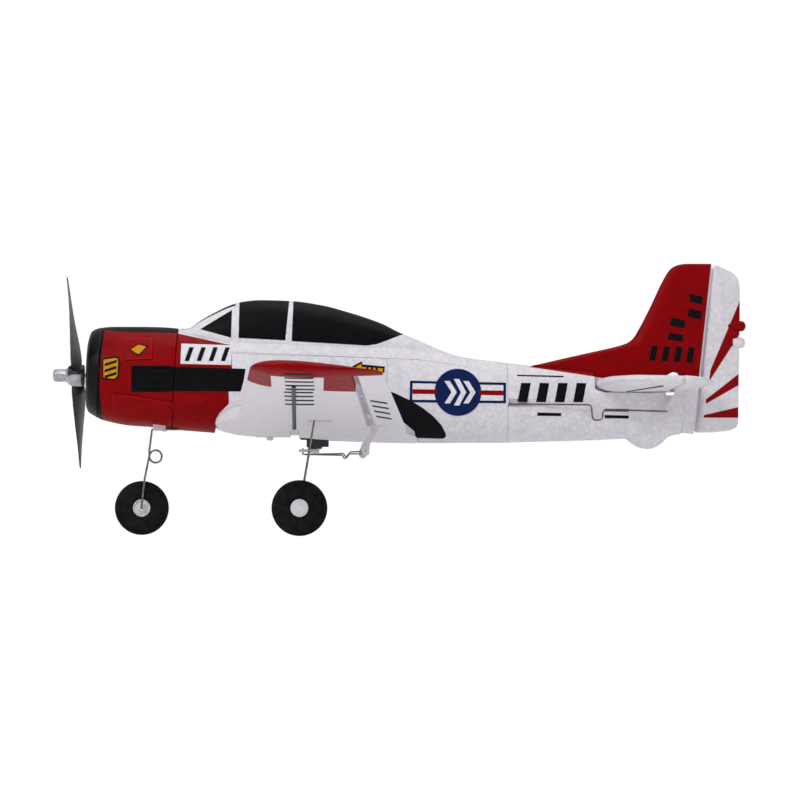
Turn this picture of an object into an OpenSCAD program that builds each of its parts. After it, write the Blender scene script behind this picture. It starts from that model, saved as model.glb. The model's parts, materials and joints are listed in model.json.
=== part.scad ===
// Small RC foam airplane, 400 mm span: moulded foam airframe with a geared nose motor,
// belly aileron servo, two tail servos on the control tray and fixed wire landing gear.
// Millimetres. +Z up, nose towards -X, port side towards -Y. Wheels stand on Z = 0.

/* [View] */
// Sub-part to draw, or all of them

/* [Foam] */
// Wall thickness of the hollow fuselage
wall = 3.6; // [3:0.1:4.2]
// Wall thickness of the cowl and the canopy hatch
shell = 3.2; // [2.8:0.1:3.6]
// Gap left between two foam parts
gap = 0.15; // [0.1:0.05:0.2]
// Width of the skin hinges
hinge_gap = 1.0; // [0.8:0.1:1.2]

/* [Wheels] */
// Tyre outside diameter
tyre_diameter = 26.6; // [25:0.1:26.6]
// Tyre width
tyre_width = 9; // [8:0.1:9]
// Hub diameter
hub_diameter = 8.6; // [8:0.1:9]
// Landing gear wire diameter
gear_wire = 1.0; // [0.9:0.05:1.0]

/* [Drive] */
// Propeller tip radius
prop_radius = 70; // [60:1:72]
// Propeller shaft diameter
shaft_diameter = 2.0; // [1.8:0.1:2.0]
// Gear module
gear_module = 0.4; // [0.4]
// Teeth on the spur gear
spur_teeth = 45; // [45]
// Teeth on the pinion
pinion_teeth = 9; // [9]

/* [Hidden] */
$fn = 48;

white = [0.86, 0.84, 0.86];
red = [0.55, 0.02, 0.04];
black = [0.09, 0.09, 0.1];
plastic = [0.9, 0.88, 0.9];
steel = [0.6, 0.58, 0.56];
silver = [0.72, 0.72, 0.74];
brass = [.75, .62, .3];
gear_white = [.88, .88, .84];
gearbox_grey = [.16, .16, .17];
face_grey = [.2, .2, .21];
tray_grey = [.25, .25, .27];
battery_grey = [.3, .3, .32];
light_red = [.7, .1, .1];
lead_red = [.6, .1, .1];
servo_blue = [.12, .14, .3];
board_green = [.05, .25, .12];

// Places and fits shared by several parts
SIDES = [-1, 1];                    // port, starboard
centre_y = .02;                     // each foam half stops this far from the centre plane
past = 30;                          // half width of cuts right through the fuselage
fit = .1;                           // play of plastic parts in their wing pockets
shaft_z = 78.6;                     // propeller shaft
shaft_r = shaft_diameter / 2;
motor_z = shaft_z - gear_module * (spur_teeth + pinion_teeth) / 2;
wheel_z = tyre_diameter / 2;
wire_r = gear_wire / 2;
magnet_x = 20;
magnet_y = 9.9;
plate_screw_x = -116.5;
plate_screw_y = 7.4;
nose_wire_y = -5.8;
nose_wire_z = 51.9;
lead_y = -6;                        // motor lead
lead_z = 76.2;
rod_r = .75;                        // stiffening rods in wing and stabiliser
channel_r = rod_r + .07;
lower_tray_z = [66.5, 67.7];
upper_tray_z = [81.4, 82.6];
tray_contact = .05;                 // gap between a tray and what it carries

// ---- shape helpers ----
function reversed(list) = [for (i = [len(list) - 1:-1:0]) list[i]];

// Solid through a list of rings with equal point counts
module loft(rings) {
  m = len(rings[0]);
  n = len(rings);
  faces = concat([[for (i = [0:m - 1]) i]],
    [for (k = [0:n - 2], i = [0:m - 1])
      [k * m + i, (k + 1) * m + i, (k + 1) * m + (i + 1) % m, k * m + (i + 1) % m]],
    [[for (i = [m - 1:-1:0]) (n - 1) * m + i]]);
  polyhedron([for (ring = rings) each ring], faces);
}

// Outline in the named plane, pushed through along the third axis
module plate_xz(points, y0, y1)
  translate([0, y1, 0]) rotate([90, 0, 0]) linear_extrude(y1 - y0) polygon(points);
module plate_yz(points, x0, x1)
  translate([x0, 0, 0]) rotate([90, 0, 90]) linear_extrude(x1 - x0) polygon(points);
module plate_xy(points, z0, z1)
  translate([0, 0, z0]) linear_extrude(z1 - z0) polygon(points);
module box(low, high) translate(low) cube(high - low);

// Starboard shapes, placed on the port side when side is -1
module side_plate(side, points, y0, y1)
  plate_xz(points, side > 0 ? y0 : -y1, side > 0 ? y1 : -y0);
module side_box(side, low, high)
  box([low[0], side > 0 ? low[1] : -high[1], low[2]],
    [high[0], side > 0 ? high[1] : -low[1], high[2]]);

module cyl_x(x0, x1, y, z, r) translate([x0, y, z]) rotate([0, 90, 0]) cylinder(h = x1 - x0, r = r);
module cyl_y(x, y0, y1, z, r) translate([x, y0, z]) rotate([-90, 0, 0]) cylinder(h = y1 - y0, r = r);
module rod(start, end, r) {
  span = end - start;
  length = norm(span);
  translate(start) rotate([0, acos(span[2] / length), atan2(span[1], span[0])])
    cylinder(h = length, r = r, $fn = 16);
}
// Bent wire through a list of points, a ball at each bend
module wire(points, r) {
  last = len(points) - 1;
  trim = .35 * r;
  for (i = [0:last - 1])
    let(step = points[i + 1] - points[i], dir = step / norm(step))
      rod(points[i] + dir * (i > 0 ? trim : 0), points[i + 1] - dir * (i < last - 1 ? trim : 0), r);
  for (i = [1:last - 1]) translate(points[i]) sphere(r = r * 1.1, $fn = 16);
}

// ---- fuselage sections ----
// Columns: x, lean, bottom z, widest z, deck z, half width, lower power, upper power,
// sill half width, top z, canopy share
NOSE = [
 [-153.9, .06, 62.2, 79.2, 96.2, 17.0, 2, 2, 9, 96.2, 0],
 [-152.9, .06, 60.6, 79.6, 99.8, 19.6, 2, 2, 10, 99.8, 0],
 [-151.5, .06, 59.6, 79.9, 101.1, 20.8, 2, 2, 11, 101.1, 0],
 [-149.4, .06, 58.5, 79.9, 101.9, 21.7, 2, 2, 11, 101.9, 0],
 [-147.6, .06, 57.5, 79.8, 102.3, 22.2, 2, 2, 11, 102.3, 0]];
COWL = [
 [-147.45, .06, 57.4, 79.8, 102.3, 22.3, 2, 2, 11, 102.3, 0],
 [-141, .06, 55.5, 79.3, 102.6, 23.1, 2.03, 2.03, 12, 102.6, 0],
 [-132, .06, 53.9, 78.7, 102.6, 23.7, 2.06, 2.06, 12, 102.6, 0],
 [-122, .06, 53.2, 78.0, 102.5, 24.0, 2.1, 2.1, 12, 102.5, 0],
 [-110.55, .06, 51.95, 77.2, 101.8, 23.95, 2.13, 2.13, 12, 101.95, 0]];
FUSELAGE = [
 [-110.4, .06, 51.9, 77.2, 101.7, 23.85, 2.14, 2.14, 12, 101.9, 0],
 [-106, .05, 51.5, 76.6, 100.9, 23.7, 2.17, 2.2, 12.3, 102.0, .6],
 [-100, .03, 51.0, 76, 99.8, 23.4, 2.2, 2.3, 13.0, 105.2, 1],
 [-93.5, 0, 50.4, 75.4, 98.9, 23.1, 2.2, 2.35, 13.8, 108.6, 1],
 [-83.6, 0, 49.5, 75, 98.5, 22.6, 2.25, 2.4, 14.6, 113.4, 1],
 [-77.7, 0, 48.9, 75, 98.4, 22.3, 2.3, 2.4, 14.8, 115.1, 1],
 [-68.8, 0, 48.4, 75, 98.3, 21.9, 2.3, 2.4, 15.0, 115.9, 1],
 [-54, 0, 48.2, 74.5, 98.1, 21.3, 2.35, 2.4, 15.0, 115.5, 1],
 [-39.2, 0, 46.9, 73.5, 97.8, 20.7, 2.35, 2.4, 14.7, 113.5, 1],
 [-24.4, 0, 46.1, 72, 97.3, 20.1, 2.35, 2.4, 14.0, 109.6, 1],
 [-9.6, 0, 45.7, 70.5, 96.4, 19.5, 2.35, 2.35, 12.6, 104.6, 1],
 [0.2, 0, 45.4, 69.5, 95.2, 19.0, 2.35, 2.3, 11.4, 100.2, .9],
 [10.1, 0, 45.3, 68.5, 93.4, 18.4, 2.35, 2.25, 10, 96.4, .75],
 [20, 0, 45.3, 67.5, 90.6, 17.6, 2.35, 2.2, 9, 91.8, .5],
 [32.6, 0, 45.4, 66.5, 87.5, 16.6, 2.3, 2.2, 8.3, 87.5, 0],
 [44.7, 0, 45.4, 66, 85.9, 15.7, 2.3, 2.2, 7.8, 85.9, 0],
 [64.4, 0, 45.9, 65.5, 83.7, 14.0, 2.25, 2.2, 7, 83.7, 0],
 [84, 0, 46.4, 65, 82.2, 12.1, 2.2, 2.2, 6, 82.2, 0],
 [99, 0, 46.9, 64.5, 81.3, 10.6, 2.2, 2.2, 5.3, 81.3, 0],
 [109, 0, 47.4, 64.3, 80.7, 9.6, 2.2, 2.2, 4.8, 80.7, 0],
 [114, 0, 45.2, 64.2, 80.4, 9.1, 2.0, 2.2, 4.5, 80.4, 0],
 [118.7, 0, 42.9, 64.1, 80.1, 8.6, 1.9, 2.2, 4.3, 80.1, 0],
 [123.6, 0, 42.9, 64, 79.9, 8.1, 1.9, 2.2, 4, 79.9, 0],
 [128.6, 0, 44.7, 64, 79.6, 7.6, 2.0, 2.2, 3.8, 79.6, 0],
 [132.5, 0, 48.6, 64, 79.4, 7.2, 2.2, 2.2, 3.6, 79.4, 0],
 [139, 0, 49.9, 64, 79.0, 6.5, 2.2, 2.2, 3.2, 79.0, 0]];
canopy_power = 2.2;
// Steps along a half section: below the widest point, up to the sill, over the top
lower_steps = 6;
side_steps = 4;
top_steps = 5;

function power_of(v, n) = v <= 0 ? 0 : pow(v, n);
// Point [y, z] at an angle on a superellipse centred on height z
function oval(angle, width, height, power, z) =
  [width * power_of(cos(angle), 2 / power), z + height * power_of(sin(angle), 2 / power)];
// Half section from bottom centre to top centre as [y, z], shrunk by inset
function half_section(s, inset) = let(
    mid_z = s[3], depth = s[2] + inset - mid_z, rise = s[4] - inset - mid_z,
    width = s[5] - inset, lower = s[6], upper = s[7], canopy = s[10],
    sill_w = min(s[8] - inset * .85, width - .4),
    sill_angle = acos(power_of(sill_w / width, upper / 2)),
    sill_z = oval(sill_angle, width, rise, upper, mid_z)[1],
    canopy_rise = s[9] - inset - sill_z)
  concat(
    [for (i = [0:lower_steps - 1]) oval(90 * (1 - i / lower_steps), width, depth, lower, mid_z)],
    [for (i = [0:side_steps - 1]) oval(sill_angle * i / side_steps, width, rise, upper, mid_z)],
    [for (i = [0:top_steps]) let(part = i / top_steps,
        body = oval(sill_angle + (90 - sill_angle) * part, width, rise, upper, mid_z),
        hood = oval(90 * part, sill_w, canopy_rise, canopy_power, sill_z))
      body * (1 - canopy) + hood * canopy]);
// Starboard half ring, kept at least min_y from the centre plane
function half_ring(s, inset = 0, min_y = 0) =
  [for (p = half_section(s, inset)) [s[0] + s[1] * (p[1] - shaft_z), max(p[0], min_y), p[1]]];
function full_ring(s, inset = 0) = let(half = half_ring(s, inset))
  concat(half, [for (i = [len(half) - 2:-1:1]) [half[i][0], -half[i][1], half[i][2]]]);
module body(stations, inset = 0) loft([for (s = stations) full_ring(s, inset)]);
function between(table, x0, x1) = [for (s = table) if (s[0] > x0 && s[0] < x1) s];
function blend(a, b, x) = let(part = (x - a[0]) / (b[0] - a[0])) a * (1 - part) + b * part;
// Station worked out at x from its two neighbours
function station_at(table, x) = [for (i = [0:len(table) - 2])
  if (table[i][0] <= x && table[i + 1][0] > x) blend(table[i], table[i + 1], x)][0];

// ---- wing surface: y is the distance from the centre plane, part is chord fraction ----
CHORD_PARTS = [0, .012, .04, .1, .19, .3, .43, .57, .71, .85, 1];
WING_STATIONS = [centre_y, 14, 18, 21, 25, 32, 40, 50, 75, 110, 150, 190, 194, 197.2, 199.2, 200];
// Underside of the wing root: [chord fraction, z]
ROOT_UNDERSIDE = [[0, 54.6], [.012, 52.2], [.04, 51.0], [.1, 49.6], [.19, 48.7], [.37, 48.3],
  [.52, 46.9], [.68, 46.2], [.83, 45.7], [1, 45.4]];
// Thickness curve of the four-digit aerofoil family
function foil(u) =
  (.2969 * sqrt(u) - .126 * u - .3516 * u * u + .2843 * u * u * u - .1036 * u * u * u * u) / .1;
function ease(t) = let(c = max(0, min(1, t))) c * c * (3 - 2 * c);
function tip_scale(y) = y <= 190 ? 1 : sqrt(max(.02, 1 - pow((y - 190) / 10.05, 2)));
function front_x(y) = -81.3 + .0527 * y - 10.3 * (1 - ease((y - 21) / 29)) + (1 - tip_scale(y)) * 9;
function rear_x(y) = 4.7 - .09 * y + 4.6 * (1 - ease((y - 17) / 8)) - (1 - tip_scale(y)) * 7;
function chord(y) = rear_x(y) - front_x(y);
function wing_x(y, part) = front_x(y) + chord(y) * part;
function part_at(x, y) = (x - front_x(y)) / chord(y);
function root_share(y) = 1 - ease((y - 14) / 18);
function chord_z(y, part) = 52.1 + .1207 * y - part * chord(y) * .0436;
function edge_ramp(part) = min(1, 8 * part);
function upper_z(y, part) = let(root = root_share(y), tip = tip_scale(y),
    outer_z = chord_z(y, part) + tip * ((7.8 - .022 * y) * foil(part) + .5 * edge_ramp(part)),
    root_z = 54.6 - 7.2 * part + 12.2 * foil(part) + .4 * edge_ramp(part))
  outer_z * (1 - root) + root_z * root;
function lower_z(y, part) = let(root = root_share(y), tip = tip_scale(y),
    outer_z = chord_z(y, part) - tip * ((3.2 - .005 * y) * foil(part) + .5 * edge_ramp(part)))
  outer_z * (1 - root) + lookup(part, ROOT_UNDERSIDE) * root;
function wing_ring(y) = concat(
  [for (u = CHORD_PARTS) [wing_x(y, u), y, upper_z(y, u)]],
  [for (i = [len(CHORD_PARTS) - 1:-1:1]) let(u = CHORD_PARTS[i]) [wing_x(y, u), y, lower_z(y, u)]]);

// ---- fuselage ----
// Everything above the hatch joint line; the hatch stands back from it by clear
module hatch_zone(clear) plate_xz([[-125, 101.4 + clear], [-109.5, 100.1 + clear],
  [-83.2, 93.8 + clear], [-82.7, 89.3 + clear], [9.6, 85.9 + clear],
  [32.6 - clear, 82.7 + clear], [32.6 - clear, 130], [-125, 130]], -past, past);
// Seat for the wing through the belly
module saddle() {
  half = [centre_y, 14, 18, 21, 25, 26];
  bottom_z = 38;
  loft([for (y = concat(-reversed(half), half)) let(h = abs(y)) concat(
    [for (u = CHORD_PARTS)
      [wing_x(h, u) + (u == 0 ? -gap : u == 1 ? gap : 0), y, upper_z(h, u) + gap]],
    [[rear_x(h) + gap, y, bottom_z], [front_x(h) - gap, y, bottom_z]])]);
}
module fin_seat() plate_xz([[63.5, 83.3], [95.2, 80.6], [95.2, 78.5], [140, 78.5], [140, 95],
  [63.5, 95]], -12, 12);
module tail_cut() {
  box([95.75, -past, 69.9], [145, past, 95]);
  box([131.0, -past, 68.9], [145, past, 95]);
}
// The two tray decks, grown by clear to cut their slots
module tray_decks(clear) {
  plate_xy([[-104 - clear, -20.6 - clear], [-60 + clear, -18.8 - clear],
    [-60 + clear, 18.8 + clear], [-104 - clear, 20.6 + clear]],
    lower_tray_z[0] - clear, lower_tray_z[1] + clear);
  plate_xy([[-60, -16.4 - clear], [4 + clear, -14.5 - clear],
    [4 + clear, 14.5 + clear], [-60, 16.4 + clear]],
    upper_tray_z[0] - clear, upper_tray_z[1] + clear);
}
// Groove for the fore-and-aft run of the nose gear wire
module nose_wire_groove(x0, x1, bottom)
  box([x0, nose_wire_y - .8, bottom], [x1, nose_wire_y + .8, nose_wire_z + 1]);

module fuselage_half(side) {
  cavity = concat([station_at(FUSELAGE, -105.5)], between(FUSELAGE, -105, 90),
    [station_at(FUSELAGE, 93)]);
  difference() {
    mirror([0, side < 0 ? 1 : 0, 0]) loft([for (s = FUSELAGE) half_ring(s, min_y = centre_y)]);
    body(cavity, wall);
    hatch_zone(0);
    saddle();
    fin_seat();
    tail_cut();
    tray_decks(.06);
    if (side < 0) {
      // elevator pushrod slot, motor lead hole and nose wire groove
      plate_xz([[5, 63.3], [66.8, 62.8], [66.8, 66.7], [5, 67.3]], -15.0, -13.5);
      cyl_x(-115, -103, lead_y, lead_z, 2.2);
      nose_wire_groove(-113.6, -108.6, 50);
    } else {
      // rudder pushrod slot
      plate_xz([[0, 64.3], [101, 61.5], [101, 64.8], [0, 67.6]], 10.8, 14.9);
    }
    translate([magnet_x, side * magnet_y, 80]) cylinder(h = 5, r = .92);
  }
}
module fuselage_left() color(white) fuselage_half(-1);
module fuselage_right() color(white) fuselage_half(1);

module canopy_hatch() color(white) {
  outside = concat(between(FUSELAGE, -112, 34), [station_at(FUSELAGE, 36)]);
  cavity = concat([station_at(FUSELAGE, -104)], between(FUSELAGE, -101, 21),
    [station_at(FUSELAGE, 28)]);
  difference() {
    intersection() {
      body(outside);
      hatch_zone(gap);
    }
    body(cavity, shell + .2);
    for (side = SIDES) translate([magnet_x, side * magnet_y, 83]) cylinder(h = 2.85, r = 1.25);
  }
}
module hatch_magnets() color(steel)
  for (side = SIDES) translate([magnet_x, side * magnet_y, 84.75]) cylinder(h = 1.05, r = 1.2);
// Screws under the magnets, and headed ones through the nose gear plate
module screws() color(steel) {
  for (side = SIDES) translate([magnet_x, side * magnet_y, 80.05]) cylinder(h = 4.1, r = .9);
  for (side = SIDES) translate([plate_screw_x, side * plate_screw_y, 51.2]) {
    cylinder(h = 3.6, r = .6);
    cylinder(h = .6, r = 1.0);
  }
}

// ---- cowl and nose ----
face_z = 79.6;                      // centre of the engine face disc
ring_z = 79.4;                      // centre of the cowl ring opening
block_z = 79.3;                     // centre of the nine ribbed blocks
block_step = 40;

module cowl() color(red) difference() {
  union() {
    body(COWL);
    // raised access panels
    for (side = SIDES) intersection() {
      body(COWL, -.45);
      union() {
        side_plate(side, [[-136, 86.4], [-122.2, 86.4], [-122.2, 97], [-136, 97]], 15, past);
        side_plate(side, [[-142, 69.9], [-113, 65.5], [-113, 56.6], [-142, 59.6]], 10, past);
      }
    }
  }
  // cavity, open at the back
  body(concat([station_at(COWL, -146)], between(COWL, -142, -120),
    [COWL[4] + [1, 0, 0, 0, 0, 0, 0, 0, 0, 0, 0]]), shell);
  cyl_x(-152, -144.6, 0, face_z, 18.7);
  // ribbed exhaust recess on each side
  for (side = SIDES) difference() {
    side_plate(side, [[-132.2, 71], [-114.5, 71], [-114.5, 83], [-132.2, 83]], 22.9, past);
    for (z = [73.6, 76.8, 80.1])
      plate_xz([[-128, z - .45], [-116, z - .45], [-116, z + .45], [-128, z + .45]], -past, past);
  }
  // pocket for the nose gear plate
  box([-121.6, -8.6, 48], [-113.1, 8.6, 55.1]);
  nose_wire_groove(-123.2, -108, 48);
}
module cowl_ring() color(black) difference() {
  body(NOSE);
  cyl_x(-158, -140, 0, ring_z, 15.2);
  translate([-151.5, 0, ring_z]) rotate([0, 90, 0]) cylinder(h = 8, r1 = 15, r2 = 19.2);
}
module engine_face() color(face_grey) difference() {
  union() {
    cyl_x(-145.9, -144.8, 0, face_z, 18.6);
    cyl_x(-146.7, -145.8, 0, block_z, 16.6);
    cyl_x(-148.4, -146.6, 0, shaft_z, 6);
    for (i = [0:8]) translate([-146.7, 0, block_z]) rotate([i * block_step, 0, 0])
      for (k = [0:3])
        translate([-1 + .1 * k, -2.3 + .1 * k, 7.2 + 2.1 * k]) cube([1.2, 4.6 - .2 * k, 1.4]);
  }
  cyl_x(-150, -140, 0, shaft_z, 3.6);
  // holes between the blocks
  for (i = [0:8])
    translate([-147.5, 0, block_z]) rotate([(i + .5) * block_step, 0, 0])
      translate([0, 0, 13]) rotate([0, 90, 0]) cylinder(h = 4, r = 1.6);
}

// ---- drive ----
motor_x = [-130.3, -113.1];
motor_r = 5;
motor_boss_r = 1.6;
prop_x = -161.9;
prop_turn = 50;                     // propeller angle about the shaft

module gear(teeth, height, bore) {
  pitch_r = gear_module * teeth / 2;
  tip_r = pitch_r + gear_module * .86;
  root_r = pitch_r - gear_module * 1.15;
  // one tooth: [radius, offset in tooth pitches]
  tooth = [[root_r, -.33], [pitch_r, -.20], [tip_r, -.085],
    [tip_r, .085], [pitch_r, .20], [root_r, .33]];
  difference() {
    linear_extrude(height) polygon([for (i = [0:teeth - 1], p = tooth)
      let(angle = (i + p[1]) * 360 / teeth) p[0] * [cos(angle), sin(angle)]]);
    translate([0, 0, -1]) cylinder(h = height + 2, r = bore);
  }
}
module spur_gear() color(gear_white) {
  bore = shaft_r + .01;
  difference() {
    union() {
      translate([-134.5, 0, shaft_z]) rotate([0, 90, 0]) gear(spur_teeth, 2.4, bore);
      difference() {
        cyl_x(-136.4, -134.4, 0, shaft_z, 2.6);
        cyl_x(-137, -134, 0, shaft_z, bore);
      }
    }
    for (angle = [0:60:300]) translate([-135, 0, shaft_z]) rotate([angle, 0, 0])
      translate([0, 0, 5.4]) rotate([0, 90, 0]) cylinder(h = 4, r = 1.5);
  }
}
// Pinion with the motor's output shaft
module pinion() color(brass) {
  translate([-134.6, 0, motor_z]) rotate([0, 90, 0]) rotate([0, 0, 180 + 180 / pinion_teeth])
    gear(pinion_teeth, 2.8, .3);
  cyl_x(-135.2, -128.4, 0, motor_z, .5);
}
module motor() color(silver) difference() {
  union() {
    cyl_x(motor_x[0], motor_x[1], 0, motor_z, motor_r);
    cyl_x(-131.1, -130.2, 0, motor_z, motor_boss_r);
  }
  cyl_x(-132, -128.2, 0, motor_z, .55);
}
module gearbox() color(gearbox_grey) difference() {
  union() {
    // plate behind the gears, bearing tube, motor clamp and legs to the bulkhead plate
    plate_yz([[-6, 62.5], [6, 62.5], [6, 84], [-6, 84]], -131.4, -129.4);
    cyl_x(-131.4, -119, 0, shaft_z, 3);
    cyl_x(-131.3, -117, 0, motor_z, 6.4);
    for (side = SIDES)
      box([-131.3, side * 8.3 - 1.6, 70], [-113.0, side * 8.3 + 1.6, 76]);
    for (side = SIDES) side_box(side, [-131.3, 4, 70], [-128.8, 9.9, 76]);
    plate_xz([[-114.0, 62], [-113.0, 62], [-111.32, 90], [-112.4, 90]], -10.5, 10.5);
  }
  cyl_x(-140, -110, 0, shaft_z, shaft_r + .04);
  cyl_x(motor_x[0] - .05, -110, 0, motor_z, motor_r + .05);
  cyl_x(-140, -130, 0, motor_z, motor_boss_r + .1);
  cyl_x(-115, -111, lead_y, lead_z, 2.0);
}
module prop_shaft() color(steel) cyl_x(-168.5, -116.5, 0, shaft_z, shaft_r);

// Blade sections: [radius, chord, pitch angle, thickness]
BLADE = [[1.2, 3.6, 44, 2.0], [5, 6.6, 44, 2.1], [9, 7.6, 43.5, 1.9], [15, 8.6, 36.5, 1.5],
  [23, 9.4, 30, 1.2], [32, 9.4, 25, 1.05], [43, 8.2, 18, .9], [55, 5.8, 13, .8],
  [64, 3.4, 10, .7], [69, 1.6, 9, .6], [70, .8, 9, .5]];
// Blade outline: [fraction of chord, fraction of half thickness]
BLADE_OUTLINE = [[-.5, 0], [-.3, .75], [0, 1], [.3, .7], [.5, 0], [.3, -.7], [0, -1], [-.3, -.75]];
// Only the sections beyond radius 60 follow the propeller radius
function blade_ring(s) = let(angle = s[2], radius = s[0] * (s[0] > 60 ? prop_radius / 70 : 1))
  [for (p = BLADE_OUTLINE) let(along = p[0] * s[1], across = p[1] * s[3] / 2)
    [prop_x + 1.0 + along * sin(angle) + across * cos(angle),
      -along * cos(angle) + across * sin(angle), radius]];
module propeller() color(black) difference() {
  translate([0, 0, shaft_z]) rotate([prop_turn, 0, 0]) union() {
    for (angle = [0, 180]) rotate([angle, 0, 0]) loft([for (s = BLADE) reversed(blade_ring(s))]);
    cyl_x(prop_x - 1, -157.6, 0, 0, 3.3);
    cyl_x(-157.7, -155.6, 0, 0, 5.2);
  }
  cyl_x(-170, -150, 0, shaft_z, shaft_r + .01);
}
module spinner() color(silver) difference() {
  translate([-171, 0, shaft_z]) rotate([0, 90, 0]) rotate_extrude()
    polygon([[0, 0], [1.6, .1], [2.6, .5], [3.0, 1.0], [3.175, 1.7], [3.175, 6.4], [3.6, 6.9],
      [4.4, 7.6], [5.1, 8.7], [5.45, 10.2], [5.45, 13.2], [0, 13.2]]);
  cyl_x(-163.2, -157, 0, shaft_z, 3.4);
  cyl_x(-168.6, -157, 0, shaft_z, shaft_r + .01);
  // slot for the blade roots
  translate([0, 0, shaft_z]) rotate([prop_turn, 0, 0]) box([-163.4, -3.2, -8], [-157, 3.2, 8]);
}

// ---- wing ----
hinge_inner = [-16.8, 45];          // aileron hinge ends as [x, y]
hinge_outer = [-26.1, 190];
bay_y = [43.6, 190.8];              // aileron bay
under_wing = 40;                    // wing pockets start below the skin
spar_x = -52;
clip_x = [-54, -50];
mount_x = [-45, -34];               // main gear mounts
mount_y = [58.5, 63.5];
mount_top = 60.1;
belly_x = [-71, -58.5];             // belly plate
belly_y = 7;
belly_top = 49.2;
servo_front = -46.1;                // aileron servo body and its mounting flange
servo_top = 56.1;
servo_y = 4.1;
flange_x = [-49.1, -30.9];
flange_top = 47.9;

function hinge_x(y) = hinge_inner[0]
  + (hinge_outer[0] - hinge_inner[0]) * (y - hinge_inner[1]) / (hinge_outer[1] - hinge_inner[1]);
// Pocket up from the underside, larger than its part by the fit
module pocket(x0, x1, y0, y1, top) box([x0 - fit, y0, under_wing], [x1 + fit, y1 + fit, top + fit]);
module wing_half() difference() {
  loft([for (y = WING_STATIONS) wing_ring(y)]);
  // aileron bay
  plate_xy([[hinge_x(bay_y[0]) - hinge_gap / 2, bay_y[0]], [20, bay_y[0]], [20, bay_y[1]],
    [hinge_x(bay_y[1]) - hinge_gap / 2, bay_y[1]]], 30, 110);
  // servo body, servo flange, joiner clip, gear mount and belly plate
  pocket(servo_front, flange_x[1], -1, servo_y, servo_top);
  pocket(flange_x[0], flange_x[1], -1, servo_y, flange_top);
  pocket(clip_x[0], clip_x[1], -1, 31.5, 52.4);
  pocket(mount_x[0], mount_x[1], mount_y[0] - fit, mount_y[1], mount_top);
  pocket(belly_x[0], belly_x[1], -1, belly_y, belly_top);
  rod([spar_x, 31.5, 52.3], [spar_x, 166, 68.5], channel_r);
}
module wing_left() color(white) mirror([0, 1, 0]) wing_half();
module wing_right() color(white) wing_half();

// The aileron's front face slopes back from its upper edge at the hinge
function aileron_ring(y) = let(
    top_part = part_at(hinge_x(y) + hinge_gap / 2, y),
    depth = upper_z(y, top_part) - lower_z(y, top_part),
    low_part = top_part + depth * tan(32) / chord(y))
  concat(
    [for (k = [0, .12, .3, .5, .75, 1]) let(u = top_part + (1 - top_part) * k)
      [wing_x(y, u), y, upper_z(y, u)]],
    [for (k = [1, .75, .5, .25, 0]) let(u = low_part + (1 - low_part) * k)
      [wing_x(y, u), y, lower_z(y, u)]]);
module aileron() loft([for (y = [45.5, 62, 95, 130, 160, 190]) aileron_ring(y)]);
module aileron_left() color(white) mirror([0, 1, 0]) aileron();
module aileron_right() color(white) aileron();

// Thin skin strips along the hinge line, with slots between them
module aileron_strips() {
  half = hinge_gap / 2 - .02;
  for (strip = [[47, 92], [96, 104], [108, 188]])
    loft([for (y = strip) let(x = hinge_x(y), z = upper_z(y, part_at(x + half, y)))
      [[x - half, y, z - .1], [x + half, y, z - .1], [x + half, y, z - .5], [x - half, y, z - .5]]]);
}
module aileron_hinges() color(white) for (flip = [0, 1]) mirror([0, flip, 0]) aileron_strips();
module spars() color(black)
  for (side = SIDES) rod([spar_x, side * 31.7, 52.32], [spar_x, side * 165.5, 68.44], rod_r);
module wing_clip() color(plastic) plate_yz([[-31.4, 52.3], [-31.4, 50.9], [-12, 49.3],
  [12, 49.3], [31.4, 50.9], [31.4, 52.3]], clip_x[0], clip_x[1]);
// Belly plate with a domed button in its hole
module belly_plate() color(plastic) {
  difference() {
    box([belly_x[0], -belly_y, 48.2], [belly_x[1], belly_y, belly_top]);
    translate([-64.7, 0, 47]) cylinder(h = 3, r = 1.8);
  }
  intersection() {
    translate([-64.7, 0, 48.25]) sphere(r = 1.78);
    box([-70, -3, 46], [-60, 3, belly_top]);
  }
}

// ---- fin and rudder ----
// [z, x] along the front edge of the fin
FIN_FRONT = [[78.5, 96.3], [80.5, 96.3], [80.6, 95.8], [83.4, 64.6], [87, 80], [90.5, 95.5],
  [94.3, 112.5], [97, 115.4], [101.7, 118.2], [112, 123.6], [128.3, 131.6], [131.6, 134.4],
  [133.4, 137.5], [134.2, 141]];
// [z, half thickness] of fin and rudder
FIN_THICKNESS = [[50, 3.2], [78, 3.6], [95, 3.2], [125, 2.3], [132, 1.9], [134.2, .9]];
// [z, x] along the rear edge of the rudder; its heights are also the rudder's end stations
RUDDER_REAR = [[50.6, 151.5], [51.2, 157], [52.3, 161.6], [54.5, 164.8], [57.7, 166.3],
  [64, 166.7], [125.8, 168.0], [129, 166.6], [131, 164], [132.6, 160], [133.8, 158.4]];
FIN_STATIONS = [83.5, 87, 90.5, 94.3, 97, 101.7, 112, 128.3, 131.6, 133.4, 134.2];
RUDDER_STATIONS = [50.6, 51.2, 52.3, 54.5, 57.7, 64, 90, 112, 125.8, 129, 131, 132.6, 133.8];
LIGHTS = [[168.6, 103.1], [168.1, 95]];  // tail light centres as [x, z]
rudder_tilt = 6.493;                // lean of the rudder hinge
rudder_horn_at = [146.84, 0, 62.5];

function fin_rear(z) = 144.9 + .1138 * (z - 50);
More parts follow.
